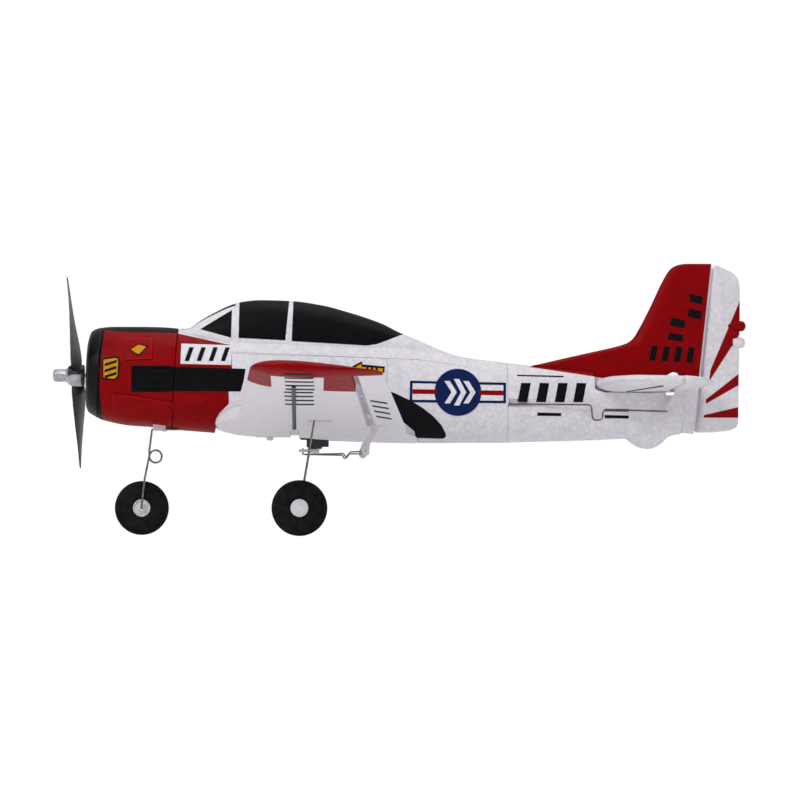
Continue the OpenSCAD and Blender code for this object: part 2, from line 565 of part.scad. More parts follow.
// Half thickness of a rounded leading edge, as a fraction, at k of its length
function nose_round(k) = sqrt(1 - pow(1 - k, 2));
function fin_ring(z) = let(front = lookup(z, FIN_FRONT), rear = fin_rear(z),
    half = lookup(z, FIN_THICKNESS), nose = min(9, (rear - front) * .35))
  concat([[front, 0, z]],
    [for (k = [.06, .25, .6, 1]) [front + nose * k, half * nose_round(k), z]],
    [[rear, half * .95, z], [rear, -half * .95, z]],
    [for (k = [1, .6, .25, .06]) [front + nose * k, -half * nose_round(k), z]]);
module fin() color(red) difference() {
  union() {
    loft([for (z = FIN_STATIONS) reversed(fin_ring(z))]);
    // root strip above the stabiliser and the post behind the fuselage
    plate_xz([[64.8, 83.35], [95.3, 80.75], [95.3, 78.65], [fin_rear(78.65), 78.65],
      [fin_rear(84), 84], [66.8, 84]], -3.3, 3.3);
    plate_xz([[139.15, 50.6], [fin_rear(50), 50], [fin_rear(80), 80], [139.15, 80]], -3.3, 3.3);
  }
  // arch over the elevator bridge
  plate_xz([[131.6, 60], [139.0, 60], [139.0, 76], [138.6, 78.6], [137.4, 80.1],
    [135.6, 80.6], [133.6, 79.9], [131.6, 78.6]], -10, 10);
}

function rudder_ring(z) = let(front = fin_rear(z) + hinge_gap, rear = lookup(z, RUDDER_REAR),
    half = lookup(z, FIN_THICKNESS) * .95, edge = .7,
    shoulder = front + half * tan(36), middle = (shoulder + rear) / 2)
  [[front, .25, z], [shoulder, half, z], [middle, half * .72, z], [rear - .6, edge, z],
    [rear, edge * .5, z], [rear, -edge * .5, z], [rear - .6, -edge, z],
    [middle, -half * .72, z], [shoulder, -half, z], [front, -.25, z]];
module light_balls(r) for (p = LIGHTS) translate([p[0], 0, p[1]]) sphere(r = r, $fn = 24);
// Frame at a point, leaning with the rudder hinge
module leaning(at) translate(at) rotate([0, rudder_tilt, 0]) children();
module rudder() color(white) difference() {
  loft([for (z = RUDDER_STATIONS) reversed(rudder_ring(z))]);
  light_balls(2.44);
  // seat of the rudder horn
  leaning(rudder_horn_at) box([1.9, 0, -.68], [8.2, 8, .68]);
}
module rudder_hinge() color(white) for (strip = [[54, 72], [76, 96], [100, 130]])
  loft([for (z = strip) let(front = fin_rear(z) + .02, rear = fin_rear(z) + hinge_gap - .12)
    [[front, -.2, z], [rear, -.2, z], [rear, .2, z], [front, .2, z]]]);
module tail_lights() color(light_red) light_balls(2.4);

// ---- stabiliser and elevator ----
elevator_hinge_at = [132.3, 74.3];  // [x, z]
hinge_z = elevator_hinge_at[1];
stab_rear = elevator_hinge_at[0] - hinge_gap / 2;
elevator_front = elevator_hinge_at[0] + hinge_gap / 2;
// Offsets from the centre line chord, and half thickness, against distance from the centre
STAB_SWEEP = [[0, 0], [12, 0.6], [60, 4.2], [74, 6.2], [79, 9], [82, 14]];
ELEVATOR_SWEEP = [[0, 0], [12, 0], [70, 8.5], [78, 12], [82, 17]];
STAB_THICKNESS = [[0, 4.1], [9, 4.0], [70, 2.4], [79, 1.8], [82, .8]];

function stab_ring(y) = let(front = 96 + lookup(abs(y), STAB_SWEEP),
    half = lookup(abs(y), STAB_THICKNESS), nose = 11)
  concat([[front, y, hinge_z]],
    [for (k = [.05, .2, .5, 1]) [front + nose * k, y, hinge_z + half * nose_round(k)]],
    [[stab_rear, y, hinge_z + half * .9], [stab_rear, y, hinge_z - half * .9]],
    [for (k = [1, .5, .2, .05]) [front + nose * k, y, hinge_z - half * nose_round(k)]]);
module stabiliser() color(white) difference() {
  loft([for (y = [-82, -79, -74, -60, -12, 12, 60, 74, 79, 82]) stab_ring(y)]);
  for (side = SIDES) rod([111, side * 14, 71.0], [124, side * 62, 72.1], channel_r);
}
module stabiliser_rod() color(black)
  for (side = SIDES) rod([111.1, side * 14.4, 71.01], [123.9, side * 61.6, 72.09], rod_r);
function elevator_ring(y) = let(rear = 153.7 - lookup(abs(y), ELEVATOR_SWEEP),
    half = lookup(abs(y), STAB_THICKNESS) * .9, shoulder = elevator_front + half * tan(33))
  [for (p = [[elevator_front, .25], [shoulder, half], [rear - .6, .7], [rear, .3], [rear, -.3],
      [rear - .6, -.7], [shoulder, -half], [elevator_front, -.25]])
    [p[0], y, hinge_z + p[1]]];
module elevator() color(white) difference() {
  union() {
    loft([for (y = [9.2, 40, 70, 78, 81.6]) elevator_ring(y)]);
    loft([for (y = [-81.6, -78, -70, -40, -9.2]) elevator_ring(y)]);
    // bridge joining the two halves
    box([133.4, -9.6, hinge_z - 1.5], [137.8, 9.6, hinge_z + 1.5]);
  }
  // seat of the elevator horn
  box([134.4, -13.75, 60], [142.1, -12.65, 72.4]);
}
module elevator_hinge() color(white)
  for (side = SIDES, strip = [[12, 34], [38, 58], [62, 76]])
    side_box(side, [stab_rear + .02, strip[0], hinge_z - .2],
      [elevator_front - .08, strip[1], hinge_z + .2]);

// ---- aileron controls ----
aileron_pivot_x = -42;
arm_hole_x = -48;
arm_hole_y = 1.3;

module aileron_servo() color(black) {
  box([servo_front, -servo_y, 43.4], [-35.2, servo_y, servo_top]);
  difference() {
    box([flange_x[0], -servo_y, 46.9], [flange_x[1], servo_y, flange_top]);
    for (x = [-47.7, -32.6]) translate([x, 0, 46]) cylinder(h = 3, r = .6);
  }
  translate([aileron_pivot_x, 0, 41.0]) cylinder(h = 2.5, r = 1.2);
}
module aileron_arm() color(plastic) difference() {
  union() {
    translate([aileron_pivot_x, 0, 40.3]) cylinder(h = 2.95, r = 2.25);
    difference() {
      plate_xy([[aileron_pivot_x, -2.2], [-49.2, -2.4], [-50, -1.4], [-50, 1.4], [-49.2, 2.4],
        [aileron_pivot_x, 2.2]], 40.9, 42.2);
      for (side = SIDES) translate([arm_hole_x, side * arm_hole_y, 40]) cylinder(h = 3, r = .4);
    }
  }
  translate([aileron_pivot_x, 0, 40.95]) cylinder(h = 3, r = 1.25);
}
// Starboard rod from servo arm to horn
AILERON_ROD = [[arm_hole_x, arm_hole_y, 42.7], [arm_hole_x, arm_hole_y, 39.7],
  [-28.2, 30.0, 39.7], [-27.3, 31.1, 38.2], [-26.1, 32.9, 38.2], [-25.2, 34.0, 40.4],
  [-18.4, 43.2, 40.6], [-17.7, 44.15, 40.6]];
module aileron_rod(side) wire([for (p = AILERON_ROD) [p[0], side * p[1], p[2]]], .35);
module aileron_pushrod_left() color(steel) aileron_rod(-1);
module aileron_pushrod_right() color(steel) aileron_rod(1);
module aileron_horn(side) difference() {
  side_plate(side, [[-15.2, 55.9], [-8.6, 55.4], [-7.8, 53.9], [-10.8, 52.4], [-15.6, 44.0],
    [-16.0, 38.9], [-17.8, 38.2], [-19.6, 39.4], [-19.4, 42.4], [-15.4, 51.6]], 44.5, 45.4);
  for (z = [40.6, 43.1]) cyl_y(-17.6, -50, 50, z, .42);
}
module aileron_horn_left() color(plastic) aileron_horn(-1);
module aileron_horn_right() color(plastic) aileron_horn(1);

// ---- tail controls ----
pin_r = 1.0;                        // servo output shafts
rod_hole_r = .45;
tail_rod_r = .4;
elevator_pivot = [-8, 78.4];        // elevator servo, [x, z]
elevator_reach = [-1.6, -13.6];     // pivot to rod hole, same on servo arm and horn
arm_hole = elevator_pivot + elevator_reach;
horn_hole = elevator_hinge_at + elevator_reach;
elevator_rod_y = -14.3;
rudder_pivot = [-7, 0, 66.8];
rudder_reach = 13.6;                // rudder arm radius

// Outline of an arm with cut corners from start to end
function arm_outline(start, end, w) = let(
    dir = (end - start) / norm(end - start), out = [-dir[1], dir[0]] * w, along = dir * w)
  [start + out - along * .6, start + out * .6 - along,
    start - out * .6 - along, start - out - along * .6,
    end - out + along * .6, end - out * .6 + along,
    end + out * .6 + along, end + out + along * .6];
module elevator_servo() color(servo_blue) {
  box([-15, -11.8, 72.6], [-2, -5.9, upper_tray_z[0] - tray_contact]);
  cyl_y(elevator_pivot[0], -13.4, -11.7, elevator_pivot[1], pin_r);
}
module elevator_arm() color(plastic) difference() {
  plate_xz(arm_outline(elevator_pivot, arm_hole, 1.5), -13.7, -12.9);
  cyl_y(elevator_pivot[0], -14, -12.5, elevator_pivot[1], pin_r + .06);
  cyl_y(arm_hole[0], -14, -12.5, arm_hole[1], rod_hole_r);
}
module elevator_pushrod() color(steel) {
  // [x, z] from servo arm to horn
  run = [arm_hole, [93.6, 63.9], [94.4, 56.4], [98.6, 56.4], [99.4, 61.6], horn_hole];
  wire(concat([[arm_hole[0], -12.5, arm_hole[1]]], [for (p = run) [p[0], elevator_rod_y, p[1]]],
    [[horn_hole[0], -12.4, horn_hole[1]]]), tail_rod_r);
}
module elevator_horn() color(plastic) difference() {
  plate_xz([[134.5, 72.3], [142, 72.3], [142, 69.2], [139.2, 67.6], [133.2, 62.8], [132.4, 57.6],
    [130.2, 56.6], [128.8, 58.0], [129.0, 62.6], [134.5, 69.4]], -13.7, -12.7);
  cyl_y(horn_hole[0], -20, 20, horn_hole[1], rod_hole_r);
  cyl_y(horn_hole[0] - .2, -20, 20, horn_hole[1] - 2.6, rod_hole_r);
}
module rudder_servo() color(servo_blue) {
  box([-13, -3.3, 68.4], [0, 3.3, upper_tray_z[0] - tray_contact]);
  leaning(rudder_pivot) cylinder(h = 3, r = pin_r, center = true);
}
module rudder_rod_hole()
  translate([0, rudder_reach, 0]) cylinder(h = 5, r = rod_hole_r, center = true);
module rudder_arm() color(plastic) leaning(rudder_pivot) difference() {
  translate([0, 0, -.4]) linear_extrude(.8) polygon(arm_outline([0, 0], [0, rudder_reach], 1.5));
  cylinder(h = 5, r = pin_r + .06, center = true);
  rudder_rod_hole();
}
module rudder_pushrod() color(steel) {
  up = [sin(rudder_tilt), 0, cos(rudder_tilt)];
  front = rudder_pivot + [0, rudder_reach, 0];
  rear = [146.82, rudder_reach, 62.5];
  wire([front + up * .9, front - up * .95, rear - up * 1.15, rear + up * .95], tail_rod_r);
}
module rudder_horn() color(plastic) leaning(rudder_horn_at) difference() {
  translate([0, 0, -.6]) linear_extrude(1.2) polygon([[2.2, 1.6], [8, 1.4], [8, 4.2], [3.4, 9],
    [1.6, rudder_reach + 1.2], [-.4, rudder_reach + 1.8], [-1.6, rudder_reach + .4],
    [-1.4, rudder_reach - 2.4], [0.3, 8], [2.2, 3.6]]);
  rudder_rod_hole();
}

// ---- equipment ----
strap_x = [-86, -76];

module equipment_tray() color(tray_grey) difference() {
  union() {
    tray_decks(0);
    // web between the two decks
    box([-60.6, -16.2, lower_tray_z[0]], [-59.4, 16.2, upper_tray_z[1]]);
  }
  // strap slots, then a round hole in each deck
  for (side = SIDES) side_box(side, [strap_x[0] - .3, 10.3, 60], [strap_x[1] + .3, 11.5, 70]);
  translate([-95, 0, 60]) cylinder(h = 10, r = 4);
  translate([-35, 0, 80]) cylinder(h = 4, r = 4);
}
module battery() color(battery_grey) {
  box([-102, -10, lower_tray_z[1] + tray_contact], [-62, 10, 76]);
  box([-62.05, -5, 69], [-61.2, 5, 74.5]);
}
module battery_strap() color(black) difference() {
  box([strap_x[0], -11.1, 65.75], [strap_x[1], 11.1, 77]);
  box([strap_x[0] - 1, -10.4, 66.4], [strap_x[1] + 1, 10.4, 76.15]);
}
// Board with three raised blocks
module control_board() color(board_green) {
  box([-52, -10.5, upper_tray_z[1] + tray_contact], [-14, 10.5, 83.85]);
  box([-46, -4, 83.8], [-38, 4, 85]);
  box([-32, -7, 83.8], [-27, -1, 84.8]);
  box([-24, 1, 83.8], [-18, 8, 86.2]);
}
// Battery lead and motor lead
module wiring() color(lead_red) {
  wire([[-61.5, 7, 76.8], [-61.6, 7, 84.4], [-53, 7, 84.4]], .6);
  wire([[-53, lead_y, 84.6], [-103.4, lead_y, 84.6], [-103.4, lead_y, lead_z],
    [-114.6, lead_y, lead_z]], .6);
}

// ---- landing gear ----
nose_wheel_x = -127.2;
main_wheel_x = -49.5;
main_wheel_y = 66;
main_wire_y = 61;
tyre_round = 3;                     // radius of the tyre shoulders

module tyre() {
  hub_r = hub_diameter / 2;
  depth = wheel_z - hub_r;
  rotate([90, 0, 0]) rotate_extrude($fn = 72) union() {
    translate([hub_r, -tyre_width / 2 + .9]) square([depth - 3, tyre_width - 1.8]);
    translate([hub_r + 1.5, -tyre_width / 2]) square([depth - 4.5, tyre_width]);
    translate([wheel_z - 3.2, -tyre_width / 2 + tyre_round])
      square([3.2, tyre_width - 2 * tyre_round]);
    for (side = SIDES)
      translate([wheel_z - tyre_round, side * (tyre_width / 2 - tyre_round)])
        circle(r = tyre_round);
  }
}
// Hub with a ring groove; a capped one has a blind axle hole
module hub(cap) rotate([90, 0, 0]) difference() {
  union() {
    cylinder(h = 6.6, r = hub_diameter / 2 - .02, center = true);
    cylinder(h = 8.2, r = 1.8, center = true);
    if (cap) translate([0, 0, 2.6]) cylinder(h = 1.4, r = hub_diameter / 2 - .02);
  }
  translate([0, 0, cap ? -6 : -10]) cylinder(h = cap ? 9 : 20, r = wire_r + .05);
  translate([0, 0, -3.4]) difference() {
    cylinder(h = .9, r = 3.6);
    translate([0, 0, -1]) cylinder(h = 4, r = 2.2);
  }
}
module nose_tyre() color(black) translate([nose_wheel_x, 0, wheel_z]) tyre();
module nose_hub() color(plastic) translate([nose_wheel_x, 0, wheel_z]) hub(false);
module at_main_wheel(side) translate([main_wheel_x, side * main_wheel_y, wheel_z]) children();
module main_tyre_left() color(black) at_main_wheel(-1) tyre();
module main_tyre_right() color(black) at_main_wheel(1) tyre();
module main_hub_left() color(plastic) at_main_wheel(-1) hub(true);
module main_hub_right() color(plastic) at_main_wheel(1) rotate([0, 0, 180]) hub(true);

// Nose leg with a ring beside it
module nose_gear_wire() color(steel) {
  // [x, z] down the leg
  leg = [[-109.4, nose_wire_z], [-122, nose_wire_z], [-123.6, 39.1], [-125.5, 27.7],
    [nose_wheel_x, wheel_z]];
  wire(concat([for (p = leg) [p[0], nose_wire_y, p[1]]], [[nose_wheel_x, 3.8, wheel_z]]), wire_r);
  translate([-120.25, -6.4, 38.6]) rotate([90, 0, 0]) rotate_extrude()
    translate([3.0, 0]) circle(r = wire_r, $fn = 16);
}
module nose_gear_plate() color(plastic) difference() {
  box([-121.5, -8.5, 51.3], [-113.8, 8.5, 55.0]);
  cyl_x(-125, -105, nose_wire_y, nose_wire_z, wire_r + .03);
  for (side = SIDES) translate([plate_screw_x, side * plate_screw_y, 51.0]) {
    cylinder(h = 5, r = .62);
    translate([0, 0, -1]) cylinder(h = 1.82, r = 1.04);
  }
}
module main_gear_wires() color(steel) for (side = SIDES)
  wire([[-35.5, side * main_wire_y, 57], [-42.3, side * main_wire_y, 57],
    [main_wheel_x, side * 60.1, wheel_z], [main_wheel_x, side * 68.2, wheel_z]], wire_r);
module gear_mounts() color(plastic) for (side = SIDES) difference() {
  side_box(side, [mount_x[0], mount_y[0], 56.2], [mount_x[1], mount_y[1], mount_top]);
  box([-43.0, side * main_wire_y - .6, 50], [-34.9, side * main_wire_y + .6, 57.6]);
}

fuselage_left();
fuselage_right();
canopy_hatch();
hatch_magnets();
cowl();
cowl_ring();
engine_face();
gearbox();
motor();
pinion();
spur_gear();
prop_shaft();
propeller();
spinner();
wing_left();
wing_right();
aileron_left();
aileron_right();
spars();
wing_clip();
belly_plate();
aileron_hinges();
fin();
rudder();
rudder_hinge();
stabiliser();
stabiliser_rod();
elevator();
elevator_hinge();
tail_lights();
aileron_servo();
aileron_arm();
aileron_pushrod_left();
aileron_pushrod_right();
aileron_horn_left();
aileron_horn_right();
elevator_servo();
elevator_arm();
elevator_pushrod();
elevator_horn();
rudder_servo();
rudder_arm();
rudder_pushrod();
rudder_horn();
equipment_tray();
battery();
battery_strap();
control_board();
wiring();
screws();
nose_gear_wire();
nose_gear_plate();
main_gear_wires();
gear_mounts();
nose_tyre();
nose_hub();
main_tyre_left();
main_tyre_right();
main_hub_left();
main_hub_right();
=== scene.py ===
import json
import math
import bpy
import bmesh
import numpy as np
from mathutils import Vector, Matrix
from mathutils.bvhtree import BVHTree
from mathutils.geometry import delaunay_2d_cdt

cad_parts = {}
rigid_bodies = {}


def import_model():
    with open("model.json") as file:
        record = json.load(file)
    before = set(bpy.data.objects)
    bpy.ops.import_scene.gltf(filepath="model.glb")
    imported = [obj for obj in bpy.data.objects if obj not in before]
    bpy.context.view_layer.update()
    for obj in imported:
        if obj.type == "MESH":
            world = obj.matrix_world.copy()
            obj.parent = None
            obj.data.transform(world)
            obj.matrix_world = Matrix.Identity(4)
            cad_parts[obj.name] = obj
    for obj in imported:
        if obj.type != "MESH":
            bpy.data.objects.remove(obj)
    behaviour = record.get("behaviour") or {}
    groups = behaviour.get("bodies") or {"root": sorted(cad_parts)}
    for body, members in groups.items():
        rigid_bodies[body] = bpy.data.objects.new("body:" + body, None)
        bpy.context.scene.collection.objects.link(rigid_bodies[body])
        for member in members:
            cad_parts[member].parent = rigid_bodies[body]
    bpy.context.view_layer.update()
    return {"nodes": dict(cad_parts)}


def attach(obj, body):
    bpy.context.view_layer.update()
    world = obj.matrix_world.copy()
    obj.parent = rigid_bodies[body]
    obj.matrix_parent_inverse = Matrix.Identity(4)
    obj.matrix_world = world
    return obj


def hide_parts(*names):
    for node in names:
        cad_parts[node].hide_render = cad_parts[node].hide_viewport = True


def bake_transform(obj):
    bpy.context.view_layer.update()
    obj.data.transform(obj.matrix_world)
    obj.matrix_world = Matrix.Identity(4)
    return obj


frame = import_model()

K = 0.001
rad = math.radians
rng = np.random.RandomState(7)

# ------------------------------------------------------------------ shapes
def fin_obj(o, mat, ang=38):
    me = o.data
    bm = bmesh.new()
    bm.from_mesh(me)
    bmesh.ops.recalc_face_normals(bm, faces=bm.faces)
    bm.to_mesh(me)
    bm.free()
    me.polygons.foreach_set("use_smooth", [True] * len(me.polygons))
    me.set_sharp_from_angle(angle=rad(ang))
    me.materials.clear()
    if mat is not None:
        me.materials.append(mat)
    me.update()


def raw(name, V, F):
    me = bpy.data.meshes.new(name)
    me.from_pydata([(v[0] * K, v[1] * K, v[2] * K) for v in V], [], [tuple(f) for f in F])
    me.validate()
    bm = bmesh.new()
    bm.from_mesh(me)
    bmesh.ops.recalc_face_normals(bm, faces=bm.faces)
    bm.to_mesh(me)
    bm.free()
    o = bpy.data.objects.new(name, me)
    bpy.context.scene.collection.objects.link(o)
    return o


def place(o, mat, body, rep=(), ang=38):
    fin_obj(o, mat, ang)
    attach(o, body)
    if rep:
        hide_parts(*rep)
    return o


def make(name, VF, mat, body, rep=(), ang=38):
    return place(raw(name, *VF), mat, body, rep, ang)


def loft(rings, loop=False):
    m, n = len(rings[0]), len(rings)
    V = [tuple(p) for r in rings for p in r]
    F = []
    for k in range(n if loop else n - 1):
        a, b = k * m, ((k + 1) % n) * m
        for i in range(m):
            j = (i + 1) % m
            F.append((a + i, b + i, b + j, a + j))
    if not loop:
        F.append(tuple(range(m)))
        F.append(tuple(range((n - 1) * m, n * m))[::-1])
    return V, F


def join_vf(*vfs):
    V, F = [], []
    for v, f in vfs:
        k = len(V)
        V += [tuple(p) for p in v]
        F += [tuple(i + k for i in q) for q in f]
    return V, F


def mirror(VF):
    return [(v[0], -v[1], v[2]) for v in VF[0]], VF[1]


def prism_xz(pts, y0, y1):
    return loft([[(p[0], y, p[1]) for p in pts] for y in (y0, y1)])


def prism_xy(pts, z0, z1):
    return loft([[(p[0], p[1], z) for p in pts] for z in (z0, z1)])


def prism_yz(pts, x0, x1):
    return loft([[(x, p[0], p[1]) for p in pts] for x in (x0, x1)])


def box(a, b):
    return prism_xy([(a[0], a[1]), (b[0], a[1]), (b[0], b[1]), (a[0], b[1])], a[2], b[2])


def frame_of(d):
    d = Vector(d).normalized()
    u = d.cross(Vector((0, 0, 1)) if abs(d.z) < .9 else Vector((0, 1, 0))).normalized()
    return d, u, d.cross(u).normalized()


def cyl(a, b, r, n=32, r2=None):
    a, b = Vector(a), Vector(b)
    d, u, w = frame_of(b - a)
    r2 = r if r2 is None else r2
    return loft([[tuple(p + (u * math.cos(t) + w * math.sin(t)) * q) for t in np.linspace(0, 2 * math.pi, n, endpoint=False)] for p, q in ((a, r), (b, r2))])


def lathe(prof, origin, axis, n=64, loop=False):
    # prof: list of (along axis, radius)
    d, u, w = frame_of(axis)
    o = Vector(origin)
    return loft([[tuple(o + d * a + (u * math.cos(t) + w * math.sin(t)) * max(r, .01)) for t in np.linspace(0, 2 * math.pi, n, endpoint=False)] for a, r in prof], loop)


def tube(pts, r, fillet=1.0, n=14, flat=None):
    # Round wire through the points, with bent corners
    P = [Vector(p) for p in pts]
    path = [P[0]]
    for i in range(1, len(P) - 1):
        a, b, c = P[i - 1], P[i], P[i + 1]
        d1, d2 = (a - b), (c - b)
        f = min(fillet, d1.length * .45, d2.length * .45)
        s, e = b + d1.normalized() * f, b + d2.normalized() * f
        for t in np.linspace(0, 1, 7):
            path.append(s * (1 - t) ** 2 + b * 2 * t * (1 - t) + e * t * t)
    path.append(P[-1])
    out = [path[0]]
    for p in path[1:]:
        if (p - out[-1]).length > 1e-4:
            out.append(p)
    path = out
    rings = []
    d = (path[1] - path[0]).normalized()
    _, u, w = frame_of(d)
    for i, p in enumerate(path):
        if i == 0:
            t = (path[1] - path[0]).normalized()
        elif i == len(path) - 1:
            t = (path[-1] - path[-2]).normalized()
        else:
            t = ((path[i] - path[i - 1]).normalized() + (path[i + 1] - path[i]).normalized()).normalized()
        u = (u - t * u.dot(t)).normalized()
        w = t.cross(u)
        k = [(.0, .72), (.0, 1)] if i == 0 else [(.0, 1), (.0, .72)] if i == len(path) - 1 else [(0, 1)]
        for j, (_, q) in enumerate(k):
            sh = t * (-.3 * r if (i == 0 and j == 0) else .3 * r if (i == len(path) - 1 and j == 1) else 0)
            rings.append([tuple(p + sh + (u * math.cos(x) + w * math.sin(x)) * r * q) for x in np.linspace(0, 2 * math.pi, n, endpoint=False)])
    return loft(rings)


def ball(c, r, n=10, squash=(1, 1, 1)):
    rings = []
    for a in np.linspace(-math.pi / 2 + .12, math.pi / 2 - .12, n):
        rings.append([(c[0] + r * squash[0] * math.cos(a) * math.cos(t), c[1] + r * squash[1] * math.cos(a) * math.sin(t), c[2] + r * squash[2] * math.sin(a)) for t in np.linspace(0, 2 * math.pi, n + 4, endpoint=False)])
    return loft(rings)


def boolean(o, vf, op="DIFFERENCE"):
    c = raw("cutter", *vf)
    m = o.modifiers.new("b", "BOOLEAN")
    m.object, m.operation, m.solver = c, op, "EXACT"
    dg = bpy.context.evaluated_depsgraph_get()
    me = bpy.data.meshes.new_from_object(o.evaluated_get(dg))
    o.modifiers.clear()
    old = o.data
    o.data = me
    bpy.data.meshes.remove(old)
    cm = c.data
    bpy.data.objects.remove(c)
    bpy.data.meshes.remove(cm)
    return o


def bevel(o, w, seg=3, ang=30):
    m = o.modifiers.new("bevel", "BEVEL")
    m.width, m.segments, m.limit_method, m.angle_limit = w * K, seg, "ANGLE", rad(ang)
    m.harden_normals = False
    return o


def bvh_of(o):
    me = o.data
    return BVHTree.FromPolygons([v.co / K for v in me.vertices], [tuple(p.vertices) for p in me.polygons])


# ------------------------------------------------------------------ smooth tables
def pchip(x, y, xi):
    x, y, xi = np.asarray(x, float), np.asarray(y, float), np.atleast_1d(np.asarray(xi, float))
    h = np.diff(x)
    s = np.diff(y) / h
    d = np.zeros_like(y)
    for i in range(1, len(x) - 1):
        if s[i - 1] * s[i] > 0:
            a, b = 2 * h[i] + h[i - 1], h[i] + 2 * h[i - 1]
            d[i] = (a + b) / (a / s[i - 1] + b / s[i])
    d[0], d[-1] = s[0], s[-1]
    k = np.clip(np.searchsorted(x, xi) - 1, 0, len(x) - 2)
    t = np.clip((xi - x[k]) / h[k], 0, 1)
    t2, t3 = t * t, t * t * t
    return (2 * t3 - 3 * t2 + 1) * y[k] + (t3 - 2 * t2 + t) * h[k] * d[k] + (-2 * t3 + 3 * t2) * y[k + 1] + (t3 - t2) * h[k] * d[k + 1]


TBL = np.array([
    [-153.9, .03, 62.2, 79.2, 96.2, 17.0, 2, 2, 9, 96.2, 0],
    [-152.9, .035, 60.6, 79.6, 99.8, 19.6, 2, 2, 10, 99.8, 0],
    [-151.5, .04, 59.6, 79.9, 101.1, 20.8, 2, 2, 11, 101.1, 0],
    [-149.4, .05, 58.5, 79.9, 101.9, 21.7, 2, 2, 11, 101.9, 0],
    [-147.5, .06, 57.45, 79.8, 102.3, 22.25, 2, 2, 11, 102.3, 0],
    [-141, .06, 55.5, 79.3, 102.6, 23.1, 2.03, 2.03, 12, 102.6, 0],
    [-132, .06, 53.9, 78.7, 102.6, 23.7, 2.06, 2.06, 12, 102.6, 0],
    [-122, .06, 53.2, 78.0, 102.5, 24.0, 2.1, 2.1, 12, 102.5, 0],
    [-111.95, .06, 52.05, 77.35, 101.9, 23.95, 2.125, 2.125, 12, 101.95, 0],
    [-106, .05, 51.5, 76.6, 100.9, 23.7, 2.17, 2.2, 12.3, 102.0, .6],
    [-100, .03, 51.0, 76, 99.8, 23.4, 2.2, 2.3, 13.0, 105.2, 1],
    [-93.5, 0, 50.4, 75.4, 98.9, 23.1, 2.2, 2.35, 13.8, 108.6, 1],
    [-83.6, 0, 49.5, 75, 98.5, 22.6, 2.25, 2.4, 14.6, 113.4, 1],
    [-77.7, 0, 48.9, 75, 98.4, 22.3, 2.3, 2.4, 14.8, 115.1, 1],
    [-68.8, 0, 48.4, 75, 98.3, 21.9, 2.3, 2.4, 15.0, 115.9, 1],
    [-54, 0, 48.2, 74.5, 98.1, 21.3, 2.35, 2.4, 15.0, 115.5, 1],
    [-39.2, 0, 46.9, 73.5, 97.8, 20.7, 2.35, 2.4, 14.7, 113.5, 1],
    [-24.4, 0, 46.1, 72, 97.3, 20.1, 2.35, 2.4, 14.0, 109.6, 1],
    [-9.6, 0, 45.7, 70.5, 96.4, 19.5, 2.35, 2.35, 12.6, 104.6, 1],
    [0.2, 0, 45.4, 69.5, 95.2, 19.0, 2.35, 2.3, 11.4, 100.2, .9],
    [10.1, 0, 45.3, 68.5, 93.4, 18.4, 2.35, 2.25, 10, 96.4, .75],
    [20, 0, 45.3, 67.5, 90.6, 17.6, 2.35, 2.2, 9, 91.8, .5],
    [32.6, 0, 45.4, 66.5, 87.5, 16.6, 2.3, 2.2, 8.3, 87.5, 0],
    [44.7, 0, 45.4, 66, 85.9, 15.7, 2.3, 2.2, 7.8, 85.9, 0],
    [64.4, 0, 45.9, 65.5, 83.7, 14.0, 2.25, 2.2, 7, 83.7, 0],
    [84, 0, 46.4, 65, 82.2, 12.1, 2.2, 2.2, 6, 82.2, 0],
    [99, 0, 46.9, 64.5, 81.3, 10.6, 2.2, 2.2, 5.3, 81.3, 0],
    [109, 0, 47.4, 64.3, 80.7, 9.6, 2.2, 2.2, 4.8, 80.7, 0],
    [114, 0, 45.2, 64.2, 80.4, 9.1, 2.0, 2.2, 4.5, 80.4, 0],
    [118.7, 0, 42.9, 64.1, 80.1, 8.6, 1.9, 2.2, 4.3, 80.1, 0],
    [123.6, 0, 42.9, 64, 79.9, 8.1, 1.9, 2.2, 4, 79.9, 0],
    [128.6, 0, 44.7, 64, 79.6, 7.6, 2.0, 2.2, 3.8, 79.6, 0],
    [132.5, 0, 48.6, 64, 79.4, 7.2, 2.2, 2.2, 3.6, 79.4, 0],
    [139, 0, 49.9, 64, 79.0, 6.5, 2.2, 2.2, 3.2, 79.0, 0]])


SKEG = np.array([(105, 47.2), (109, 47.4), (111.0, 47.5), (113.4, 45.9), (116.2, 44.0), (119.5, 42.8), (122.6, 42.4), (126.1, 43.2), (129.4, 45.3), (131.4, 47.3), (132.7, 48.4), (134, 48.9), (139, 49.9)])


def S(x):
    s = np.array([x] + [pchip(TBL[:, 0], TBL[:, k], x)[0] for k in range(1, 11)])
    if x > 105:
        s[2] = pchip(SKEG[:, 0], SKEG[:, 1], x)[0]
    return s


def spw(v, n):
    return np.power(np.maximum(v, 0), n)


